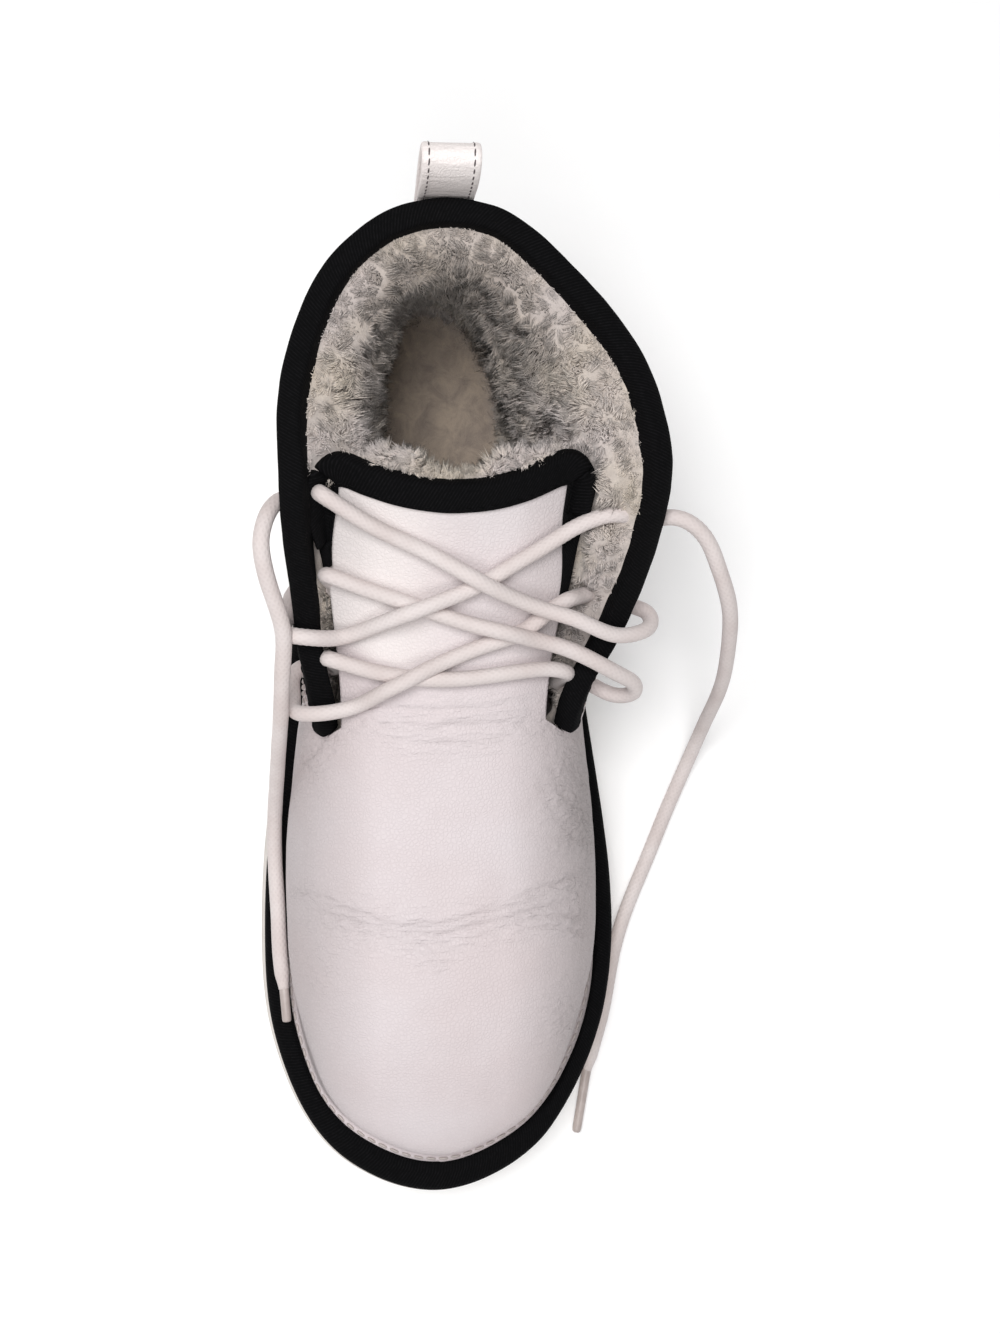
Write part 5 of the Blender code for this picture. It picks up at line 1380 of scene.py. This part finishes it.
SOLE_SIDE = (       # share of the height, and how far it stands past the ring
    (0.0, -0.0010), (0.012, -0.0001), (0.035, 0.0007), (0.08, 0.0011), (0.20, 0.0010),
             (0.40, 0.0008), (0.43, 0.0004),
    (0.45, -0.0007), (0.50, -0.0010), (0.55, -0.0007), (0.57, 0.0004), (0.60, 0.0008),
             (0.80, 0.0010), (0.92, 0.0010),
    (0.97, 0.0007), (1.0, 0.0001),
)
ring, land, tread = ring_at["ring"], ring_at["land"], sole_bottom(ring_at["foot"])
ledge = ring - ring_at["lip"] - 0.0004


def y_of(r):
    """How far back each of the ring's points lies at radii r."""
    return ring_at["y"] + r * ring_at["way"][:, 1]


rows = [ring_points(s * ring, sole_bottom(y_of(s * ring)))
        for s in (0.0, 0.12, 0.25, 0.4, 0.55, 0.7, 0.82, 0.92, 0.97)]
rows += [ring_points(ring + o, tread + s * (land - tread)) for s, o in SOLE_SIDE]
rows += [ring_points(ledge, land), ring_points(ledge - 0.0004, land + PLATEAU)]
rows += [ring_points(s * ledge, sole_top_line(y_of(s * ledge))[:, 0] + PLATEAU)
         for s in (0.75, 0.4, 0.0)]
grid = np.stack(rows, 1)
mesh = patchwork("sole", [np.concatenate([grid, grid[:1]])])
sole = publish("sole", mesh, rubber)

GROOVES = (-112.0, -94.0, -76.0, -58.0, -40.0, 74.0, 92.0, 110.0, 127.0)
groove_tools = []
for y in np.array(GROOVES) * MM:
    reaches = [reach(outline_curve, np.array([MIDDLE_X, y]), np.array([s, 0.0]))[0] - 0.0090
               for s in (-1.0, 1.0)]
    x = np.linspace(-reaches[0], reaches[1], 25)
    back = 0.0060 * (abs(x) / np.where(x < 0, reaches[0], reaches[1])) ** 2
    bottom = float(sole_bottom(np.array([y + 0.003]))[0])
    corners = ((-0.0019, -0.004), (0.0019, -0.004), (0.0015, bottom + 0.0025),
               (-0.0015, bottom + 0.0025))
    rings = np.stack([
        np.stack([x + MIDDLE_X, y + back + dy, np.full(25, z)], -1) for dy, z in corners], 1)
    groove_tools.append(strip("groove_cutter", rings, rubber))
bpy.context.view_layer.update()
with bpy.context.temp_override(active_object=groove_tools[0],
                               selected_editable_objects=groove_tools):
    bpy.ops.object.join()
cutter = groove_tools[0]
step = sole.modifiers.new("tread", "BOOLEAN")
step.operation, step.solver, step.object = "DIFFERENCE", "EXACT", cutter
bpy.context.view_layer.update()
evaluated = sole.evaluated_get(bpy.context.evaluated_depsgraph_get())
cut_mesh = bpy.data.meshes.new_from_object(evaluated)
sole.modifiers.clear()
sole.data = cut_mesh
bpy.data.objects.remove(cutter)
cut_mesh.shade_smooth()
cut_mesh.set_sharp_from_angle(angle=math.radians(40))
stand_for(sole, "rubber_sole", "outsole")
print("sole: %d faces" % len(cut_mesh.polygons))


# %% [markdown]
# ## Sheepskin
# The lining is shearling: sheepskin worn with the wool inside. The wool stands up to about a
# centimetre in soft locks a few millimetres across, flattened where the foot rubs. Bent noise
# gives every point a height in its lock, and the same heights tint the mesh with painted shade,
# cream at the tips and grey-brown down between the locks.

# %% Wool material
wool, tree, shader = finish_of("shearling_wool", Roughness=0.95, IOR=1.5, Sheen_Weight=0.35,
                               Sheen_Roughness=0.6)
place = add(tree, "TexCoord", out="Object")
fibre_place = add(tree, "Mapping", {"Scale": (1.0, 1.0, 0.45)}, {"Vector": place})
fibre = noise_at(tree, fibre_place, 0.0010, 4.0, Roughness=0.66, Distortion=1.1)
tips = blend(tree, levels(tree, noise_at(tree, place, 0.019, 3.0), 0.35, 0.65), "ddd2ce", "dfd2c2")
tall = {0: fibre, 2: attribute(tree, "lock")}
tall = levels(tree, add(tree, "Math", {"operation": "MULTIPLY_ADD", 1: 0.45}, tall), 0.22, 1.20)
# painted shade: the wool darkens from the tips down to the roots between the locks
wool_shaded_to_roots = blend(tree, tall, "9d948e", tips)
matted = levels(tree, noise_at(tree, place, 0.007, 5.0, Roughness=0.7, Distortion=0.6), 0.36, 0.64)
trodden = blend(tree, matted, "b3a291", "8f8177")
# the trodden tint carries both real wear and the heel's painted shade
lead(tree, shader, Base_Color=blend(tree, attribute(tree, "wear_and_shade"), wool_shaded_to_roots, trodden),
     Normal=bump(tree, fibre, 0.8, 0.0005))


def locks(points, size=0.0085):
    """Height of the wool at each point, from 0 between the locks to 1 at their tips."""
    heights = np.empty(len(points))
    for i, p in enumerate(points):
        p = Vector(p)
        w = p + 0.0034 * noise.noise_vector(p / 0.011) + 0.0011 * noise.noise_vector(p / 0.0036)
        w.z *= 0.62
        big = min(1.0, 2.6 * abs(noise.noise(w / size))) ** 0.75
        small = min(1.0, 2.6 * abs(noise.noise(w / (0.40 * size) + Vector((3.1, 1.7, 5.2))))) ** 0.8
        heights[i] = 0.52 * big + 0.33 * small + 0.15 * (0.5 + noise.noise(p / 0.0012))
    return heights


# %% [markdown]
# ## Tufts
# From close by, sheepskin is fibre: fine curls that lean together in tufts. Thousands of short
# tapering tufts are set on the lining's surface, each a closed straight spike of four triangles
# that starts inside the lining. Neighbours are drawn towards the tip of one curl, whose lean
# comes from smooth noise.

# %% Tufts of wool
CURL_TUFTS = 26              # tufts that one curl draws together
TUFT_THICK, TUFT_ROOT = 0.00029, 0.0004     # half thickness, and depth inside the lining


def wool_tufts(name, mesh, facing, count, tall, weight, wear_and_shade=0.0, shade_grey=0.0):
    """Short tapering tufts on a mesh, drawn together in curls. facing is the sign of the
    normals' wool side; weight has one number for each vertex, and the rest one each or one."""
    chance_of = np.random.default_rng(11)
    mesh.calc_loop_triangles()
    corners = np.empty(len(mesh.loop_triangles) * 3, np.int64)
    mesh.loop_triangles.foreach_get("vertices", corners)
    corners = corners.reshape(-1, 3)
    co, normal = points_of(mesh), facing * normals_of(mesh)
    a, b, c = co[corners.T]
    area = np.linalg.norm(np.cross(b - a, c - a), axis=1)
    chance = area * np.asarray(weight)[corners].mean(1)
    picked = corners[chance_of.choice(len(corners), count, p=chance / chance.sum())]
    share = chance_of.dirichlet((1, 1, 1), count)
    root, out = (co[picked] * share[:, :, None]).sum(1), (normal[picked] * share[:, :, None]).sum(1)
    worn, grey, tall = [(np.broadcast_to(values, len(co))[picked] * share).sum(1)
                        for values in (wear_and_shade, shade_grey, tall)]
    tall = (tall * (1 - 0.80 * worn))[:, None]

    curls = root[:count // CURL_TUFTS]
    curl_out = out[:len(curls)]
    lean = np.array([noise.noise_vector(Vector(p)) for p in curls / 0.0100]) * 1.7
    way = 0.62 * curl_out + 0.55 * lean + 0.30 * chance_of.normal(size=lean.shape) + [0, 0, -0.15]
    way /= np.linalg.norm(way, axis=1, keepdims=True)
    way += np.maximum(0.30 - (way * curl_out).sum(1, keepdims=True), 0) * curl_out
    curl_tip = curls + tall[:len(curls)] * chance_of.uniform(0.75, 1.35, (len(curls), 1)) * way
    shade = chance_of.normal(size=len(curls)) * 0.10
    mine, _ = nearest(root, curls)
    own = way[mine] + 0.34 * chance_of.normal(size=(count, 3))
    tip = root + tall * chance_of.uniform(0.55, 1.1, (count, 1)) * own
    gathered = chance_of.uniform(0.30, 0.76, (count, 1))
    tip += gathered * (curl_tip[mine] + 0.0006 * chance_of.normal(size=(count, 3)) - tip)
    low = ((tip - root) * out).sum(1, keepdims=True)
    tip += np.maximum(0.0004 - low, 0) * out

    aside = np.cross(tip - root, out + 0.3 * chance_of.normal(size=(count, 3)))
    aside /= np.linalg.norm(aside, axis=1, keepdims=True)
    other = np.cross(tip - root, aside)
    other /= np.linalg.norm(other, axis=1, keepdims=True)
    thick = TUFT_THICK * chance_of.uniform(0.7, 1.3, (count, 1))
    foot = root - TUFT_ROOT * out
    ring = [foot + thick * (math.cos(turn) * aside + math.sin(turn) * other)
            for turn in (0.0, 2.094, 4.189)]
    points = np.stack(ring + [tip], 1).reshape(-1, 3)
    spike = np.array([(0, 2, 1), (0, 1, 3), (1, 2, 3), (2, 0, 3)])
    faces = 4 * np.arange(count)[:, None, None] + spike
    tufts = bpy.data.meshes.new(name)
    tufts.from_pydata(points.tolist(), [], faces.reshape(-1, 3).tolist())
    # painted shade: each tuft darkens towards its root, and greys by the heel's painted shade
    lock = np.tile([0.52, 0.52, 0.52, 1.0], count) + np.repeat(shade[mine] - grey, 4)
    record_on(tufts, "lock", np.clip(lock, 0, 1.2))
    record_on(tufts, "wear_and_shade", np.repeat(worn, 4))
    stand_for(publish(name, tufts, wool, outside=False), "fleece")
    print("%s: %d tufts in %d curls" % (name, count, len(curls)))


def woolly(name, mesh, height, wear_and_shade, thick, *nodes):
    """A mat of wool as a piece, with painted shade down between its locks and a tint of wear and
    painted shade. It is closed if thick is 0.
    """
    # painted shade: the mat is darker where its locks are low
    record_on(mesh, "lock", 0.3 + 0.3 * height)
    record_on(mesh, "wear_and_shade", np.broadcast_to(wear_and_shade, len(height)))
    piece = publish(name, mesh, wool, outside=not thick)
    if thick:
        thicken(piece, thick)
    return stand_for(piece, "fleece", *nodes)


# %% [markdown]
# ## Lining of the quarters and the vamp
# The wool starts under the collar tape, swells within a centimetre to its full height, and is
# thinner beside the tongue, where the flaps press on it. It follows the inside of the quarters
# round the heel and goes on forward under the vamp into the toe.

# %% Lining
def lining_grid(side, k, rows, thick):
    """Points of the wool's face, this thick inside the wall."""
    station, rows = swept(k[:, None], rows[None]), rows[None]
    return surface(side, station, rows) - (WALL + thick)[..., None] * outward(side, station, rows)


grids, depth = [], []
rows = spread((2.6, 4, 8), (4, 8, 42))
for side in (1, -1):
    k = spread((16.1, 27, 90), (27, 34, 50))
    wall = surface(side, k[:, None], rows[None])
    down = np.linalg.norm(np.diff(wall, axis=1), axis=-1)[:, ::-1].cumsum(1)[:, ::-1]
    down = np.concatenate([down, np.zeros((len(k), 1))], 1)
    beside_tongue = 1 - ease((k - 20) / 4) if side > 0 else 1 - ease((k - 23.2) / 3.0)
    full = 0.0100 - (0.0038 if side > 0 else 0.0076) * beside_tongue
    full = full * (0.62 + 0.38 * ease((k - 16.1) / 2.2))
    low_down = 1 - 0.40 * ease((down - 0.040) / 0.030)
    swell = ease((down - 0.0034) / 0.0095) ** 0.8
    grids.append(lining_grid(side, k, rows, TAPE + (full[:, None] * low_down - TAPE) * swell))
mesh = patchwork("lining", grids)
places = points_of(mesh)
height = locks(places)
to_middle = np.array([0, 0.05, 0]) + SHIFT - places
inwards = np.sign((to_middle * normals_of(mesh))[:, :2].sum(1).mean())
edge_k = np.linspace(16, 34, 400)
collar_line = np.vstack([surface(s, edge_k, 8.0) for s in (1, -1)]) + SHIFT
_, from_edge = nearest(places, collar_line)
swollen = ease((from_edge - 0.0042) / 0.0090)
plan = places - SHIFT
slim = (plan[:, 0] < 0) * (1 - ease((plan[:, 1] - 0.040) / 0.018))      # under the inner flap
tongue_edge = tongue_at(way_round[:, 0], way_round[:, 1]) + SHIFT
_, from_tongue = nearest(places, tongue_edge)
# where the lace lies on the wool, it presses the wool back against the leather
holes = np.array([point for point, _ in eyelets.values()])
laid = lace_path[np.linalg.norm(lace_path[:, None] - holes, axis=2).min(1) > 0.0085] + SHIFT
to_lace, lace_away = nearest(places, laid)
within = inwards * ((places - laid[to_lace]) * normals_of(mesh)).sum(1)
aside = np.sqrt(np.maximum(lace_away ** 2 - within ** 2, 0))
pressed = np.clip(within + 0.5 * LACE + 0.0006, 0, 0.0036 * swollen * (1 - 0.9 * slim))
pressed = pressed * (1 - ease((aside - 0.0026) / 0.0040)) * (lace_away < 0.010)
pressed = np.maximum(pressed, 0.0022 * (1 - ease((from_tongue - 0.0020) / 0.0035)))
lumps = swollen * (0.0034 * (height - 0.45) + 0.0012 * grain(places, 0.018))
lumps = lumps * (1 - 0.85 * slim) * ease((from_tongue - 0.003) / 0.006)
push(mesh, inwards * (lumps * (pressed < 1e-5) - pressed))
# painted shade: inside the heel the wool is greyed and tinted towards the trodden colour; lower
# down that tint is wear
at_heel = ease((plan[:, 1] - 0.070) / 0.045) * (1 - ease((abs(plan[:, 0]) - 0.022) / 0.016))
shade_grey = 0.75 * at_heel * ease((from_edge - 0.004) / 0.012) * ease((places[:, 2] - 0.050) / 0.03)
heel_shade_and_wear = 0.30 * at_heel * ease((from_edge - 0.006) / 0.012) * ease((places[:, 2] - 0.060) / 0.02)
heel_shade_and_wear = np.clip(heel_shade_and_wear + 0.25 * np.clip((0.060 - places[:, 2]) / 0.02, 0, 1), 0, 1)
woolly("quarter_lining", mesh, height, heel_shade_and_wear, 0.0012 * inwards, "upper")
print("quarter lining: %d vertices" % len(mesh.vertices))
QUARTER_TUFTS = 38500
covered = np.clip((from_edge - 0.0052) / 0.0010, 0, 1)
covered = covered * np.clip((lace_away - 0.0034) / 0.0012, 0, 1)
covered = covered * (0.12 + 0.88 * ease((plan[:, 1] + 0.010) / 0.030))
covered = covered * np.clip((from_tongue - 0.0036) / 0.0015, 0, 1)
standing = 0.0042 * (0.30 + 0.70 * ease((from_edge - 0.0055) / 0.0080))
standing = standing * (1 - 0.40 * slim) * (0.4 + 0.6 * ease(from_tongue / 0.012))
for side, name in ((1, "quarter_wool_outer"), (-1, "quarter_wool_inner")):
    wool_tufts(name, mesh, inwards, QUARTER_TUFTS, standing, covered * (side * plan[:, 0] > 0),
               heel_shade_and_wear, shade_grey)

grids = []
rows = spread((2.6, 4, 7), (4, 8, 14), (8, 13, 14))
for side in (1, -1):
    k = spread((0, 8, 22), (8, 16.2, 22))
    grids.append(lining_grid(side, k, rows, np.full((len(k), len(rows)), 0.0052)))
mesh = patchwork("lining", grids)
woolly("toe_lining", mesh, locks(points_of(mesh)), 0.2, -0.0012, "upper")

# %% [markdown]
# ## Wool behind the tongue
# The tongue is lined with the same sheepskin. Its locks stand up a few millimetres above the
# black tape along the top edge, as uneven lumps.

# %% Tongue lining
a, b = np.meshgrid(np.linspace(-0.97, 0.97, 110), np.linspace(0.05, 1.0, 84), indexing="ij")
heaps = np.exp(-((a[:, 0] + 0.44) / 0.25) ** 2) + np.exp(-((a[:, 0] - 0.50) / 0.25) ** 2)
b = b * (1 - tongue_dip(0.8 * a) - 0.030 * (1 - heaps[:, None]))
base, out = tongue_at(a, b), tongue_out(a, b)
edge = np.minimum((1 - abs(a)) / 0.12, 1) * np.minimum((1.02 - b) / 0.05, 1)
back_thick = WALL + 0.0004 + 0.0052 * np.clip(edge, 0.25, 1) ** 0.5
face = base - back_thick[..., None] * out
crest = a[:, -1]
up = tongue_at(crest, 1.0) - tongue_at(crest, 0.97)
up /= np.linalg.norm(up, axis=1, keepdims=True)
lumps = 0.0002 + 0.0052 * heaps + 0.0008 * grain(base[:, -1] + SHIFT, 0.006)
rolled = [face[:, -1] + (1 - share) * (WALL + 0.0044) * 0.8 * out[:, -1]
          + (rise * lumps)[:, None] * up
          for share, rise in ((0.86, 0.75), (0.62, 1.0), (0.38, 0.8), (0.2, 0.3))]
grid = np.concatenate([face, np.stack(rolled, 1)], 1)
mesh = patchwork("lining", [grid])
places = points_of(mesh)
height = locks(places, 0.0058)
backwards = np.sign((normals_of(mesh) @ np.array([0, 0.6, -0.5])).mean())
push(mesh, backwards * 0.0026 * (height - 0.4))
woolly("tongue_lining", mesh, height, 0.0, 0.0010 * backwards, "tongue")
print("tongue lining: %d vertices" % len(mesh.vertices))
across_of = np.repeat(crest, grid.shape[1])[nearest(places, grid.reshape(-1, 3) + SHIFT)[0]]
towards_edge = ease((0.90 - abs(across_of)) / 0.08)
at_top = np.clip((places[:, 2] - 0.095) / 0.018, 0.05, 1) ** 2
wool_tufts("tongue_wool", mesh, backwards, 11500, 0.0034, at_top * (0.002 + towards_edge))

# %% [markdown]
# ## Footbed
# The footbed is a sheepskin insole. Under the heel the wool is trodden flat into a smooth,
# greyish-brown patch, and it stays fluffy only round its edge.

# %% Footbed
k = {1: spread((0, 8, 44), (8, 16, 34), (16, 27, 70), (27, 34, 52))}
k[-1] = k[1][::-1][1:-1]
outer, inner = [at_section(side, k[side]) for side in (1, -1)]
ring_at = {name: np.concatenate([outer[name], inner[name]]) for name in outer}
edge = ring_at["seam"] - 0.0050
FOOTBED_LIFT, FOOTBED_THICK = 0.0011, 0.0075


def footbed_floor(r):
    """Height of the footbed's underside at radii r."""
    return sole_top_line(y_of(r))[:, 0] + PLATEAU + FOOTBED_LIFT


rows = []
for s in np.concatenate([np.linspace(0, 0.9, 26), np.linspace(0.9, 1.0, 8)[1:]]):
    z = footbed_floor(s * edge) + FOOTBED_THICK
    z = z + 0.0014 * ease((s - 0.80) / 0.2) - 0.0010 * ease((s - 0.965) / 0.035)
    rows.append(ring_points(s * edge, z))
rows += [ring_points(edge, footbed_floor(edge) + FOOTBED_THICK - depth)
         for depth in (0.0035, 0.0070)]
rows += [ring_points(s * edge, footbed_floor(s * edge)) for s in (0.9, 0.5, 0.0)]
grid = np.stack(rows, 1)
mesh = patchwork("footbed", [np.concatenate([grid, grid[:1]])])
places = points_of(mesh)
plan = places - SHIFT
inside = np.sqrt(((plan[:, 0] - 0.0005) / 0.0235) ** 2 + ((plan[:, 1] - 0.084) / 0.046) ** 2)
fluffy = ease((inside - 0.74) / 0.46)
height = locks(places)
upper_face = places[:, 2] > sole_top_line(plan[:, 1])[:, 0] + 0.0075
push(mesh, np.where(upper_face, fluffy * 0.0020 * (height - 0.2) + 0.0003 * grain(places, 0.012),
                    0.0))
woolly("footbed", mesh, height, 1 - fluffy, 0.0, "insole")
# painted shade: the footbed's tufts, deep in the boot, are greyed a little
wool_tufts("footbed_wool", mesh, 1, 12000, 0.0038, upper_face * (plan[:, 1] > 0.0) * fluffy,
           1 - fluffy, 0.1 * fluffy)


# %% [markdown]
# ## Pull loop
# A strip of the same leather, its long edges turned under and sewn with a dark thread, is folded
# into a loop. Both its legs lie on the outside of the heel seam, one over the other, and are
# stitched to it. The section is a flat strip with rounded edges, thinnest at the middle.

# %% Pull loop
PULL_LOOP = (
    (132.8, 97.0), (132.5, 108.0), (132.4, 118.0), (132.4, 126.0), (132.0, 132.0),
    (132.1, 138.0), (133.2, 143.0), (135.6, 146.0), (138.2, 144.8), (139.3, 140.6),
    (139.0, 134.0), (137.7, 126.5), (136.0, 118.0), (135.2, 110.0), (135.4, 97.0),
)
STRAP_WIDE, STRAP_THICK = 0.0155, 0.0020
line = smooth_path(np.array(PULL_LOOP) * MM, 150)
ahead = np.gradient(line, axis=0)
ahead /= np.linalg.norm(ahead, axis=1, keepdims=True)
out = np.stack([ahead[:, 1], -ahead[:, 0]], -1)
rise = (line[:, 1] - line[:, 1].min()) / np.ptp(line[:, 1])
middle = (-1.65 - 1.05 * rise) * MM
hug = 0.0010 * (1 - ease(rise / 0.6))


def strap_point(a, off):
    """Points across the strap at a from -1 to 1, this far off its middle layer."""
    y = line[:, 0] + off * out[:, 0] - hug * a * a
    return np.stack([middle + 0.5 * STRAP_WIDE * a, y, line[:, 1] + off * out[:, 1]], -1)


across = np.array([-0.995, -0.97, -0.90, -0.80, -0.70, -0.62, -0.4, 0.0, 0.4, 0.62, 0.70, 0.80,
                   0.90, 0.97, 0.995])
puff = np.array([0.35, 0.78, 0.98, 1.05, 0.92, 0.84, 0.86, 0.84, 0.86, 0.84, 0.92, 1.05, 0.98,
                 0.78, 0.35])
rings = [strap_point(a, 0.5 * STRAP_THICK * p) for a, p in zip(across, puff)]
rings += [strap_point(a, -0.5 * STRAP_THICK * p) for a, p in zip(across[::-1], puff[::-1])]
rings = np.stack(rings, 1)
# the loop wears the lighter copy of the leather: painted light
loop = strip("pull_loop_strap", rings, strap_leather_painted_lighter)
stand_for(loop, "leather", "pull_loop")
record_on(loop.data, "worked", np.full(len(loop.data.vertices), 0.30))
record_on(loop.data, "soil_and_shade", np.zeros(len(loop.data.vertices)))
lines = []
for a in (-0.76, 0.76):
    for face in (1, -1):
        lines.append((strap_point(a, face * 0.5 * STRAP_THICK),
                      face * np.concatenate([np.zeros((150, 1)), out], 1)))
seam("pull_loop_stitches", lines, dark_thread, "leather", length=0.0021, gap=0.0007, wide=0.00024)
feet = []
for z in (0.1000, 0.1195):
    x = np.linspace(-0.76, 0.76, 20) * 0.5 * STRAP_WIDE
    i = int(np.argmin(abs(line[75:, 1] - z))) + 75
    y = line[i, 0] + 0.0010 - 0.0010 * (x / (0.5 * STRAP_WIDE)) ** 2
    feet.append((np.stack([x + middle[i], y, np.full(20, z)], -1), np.tile([0, 1.0, 0.0], (20, 1))))
seam("pull_loop_foot_stitches", feet, dark_thread, "leather", length=0.0021, gap=0.0007,
     wide=0.00024)

# %% [markdown]
# ## Floor and light
# A pale seamless floor and one large soft light above, a little to the inner side, with an even
# pale surround. That is the light of a product table: it keeps white leather white and lets the
# opening fall into shadow.

# %% Floor and light
paper, tree, shader = finish_of("seamless_paper", Roughness=0.9,
                                Emission_Color=(1.0, 1.0, 1.0, 1.0),
                                Emission_Strength=0.07)
fleck = add(tree, "TexNoise", {"Scale": 30.0}, {"Vector": add(tree, "TexCoord", out="Object")})
lead(tree, shader, Base_Color=blend(tree, fleck, "fbfbfb", "f8f8f8"))
mesh = bpy.data.meshes.new("floor")
mesh.from_pydata([(-3, -3, 0), (3, -3, 0), (3, 3, 0), (-3, 3, 0)], [], [(0, 1, 2, 3)])
floor = publish("floor", mesh, paper, outside=False)
floor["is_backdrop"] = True

world = bpy.data.worlds.new("pale_surround")
world.use_nodes = True
world.node_tree.nodes["Background"].inputs["Color"].default_value = (1.0, 1.0, 1.0, 1.0)
world.node_tree.nodes["Background"].inputs["Strength"].default_value = 0.36
bpy.context.scene.world = world


def soft_light(name, place, target, size, power):
    light = bpy.data.lights.new(name, "AREA")
    light.size, light.energy = size, power
    obj = bpy.data.objects.new(name, light)
    obj.location = place
    obj.rotation_euler = (Vector(target) - Vector(place)).to_track_quat("-Z", "Y").to_euler()
    bpy.context.scene.collection.objects.link(obj)


soft_light("overhead_softbox", (-0.25, 0.08, 1.22), (0, 0, 0.05), 0.50, 9.9)
soft_light("front_softbox", (-0.16, -0.66, 1.15), (0, 0.08, 0.06), 0.55, 3.6)
bpy.context.scene.view_settings.view_transform = "Standard"

# %% Size, and the frame's own counts
bpy.context.view_layer.update()
own_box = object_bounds()
for name, a, b in zip(("low", "high"), cad_box, own_box):
    print("%s corner: solids %s, pieces %s mm" % (name, [round(v / MM, 1) for v in a],
                                                  [round(v / MM, 1) for v in b]))
meshes = [o.data for o in bpy.context.scene.objects if o.type == "MESH"]
for mesh in meshes:
    mesh.calc_loop_triangles()
print("triangles before modifiers: %d" % sum(len(mesh.loop_triangles) for mesh in meshes))
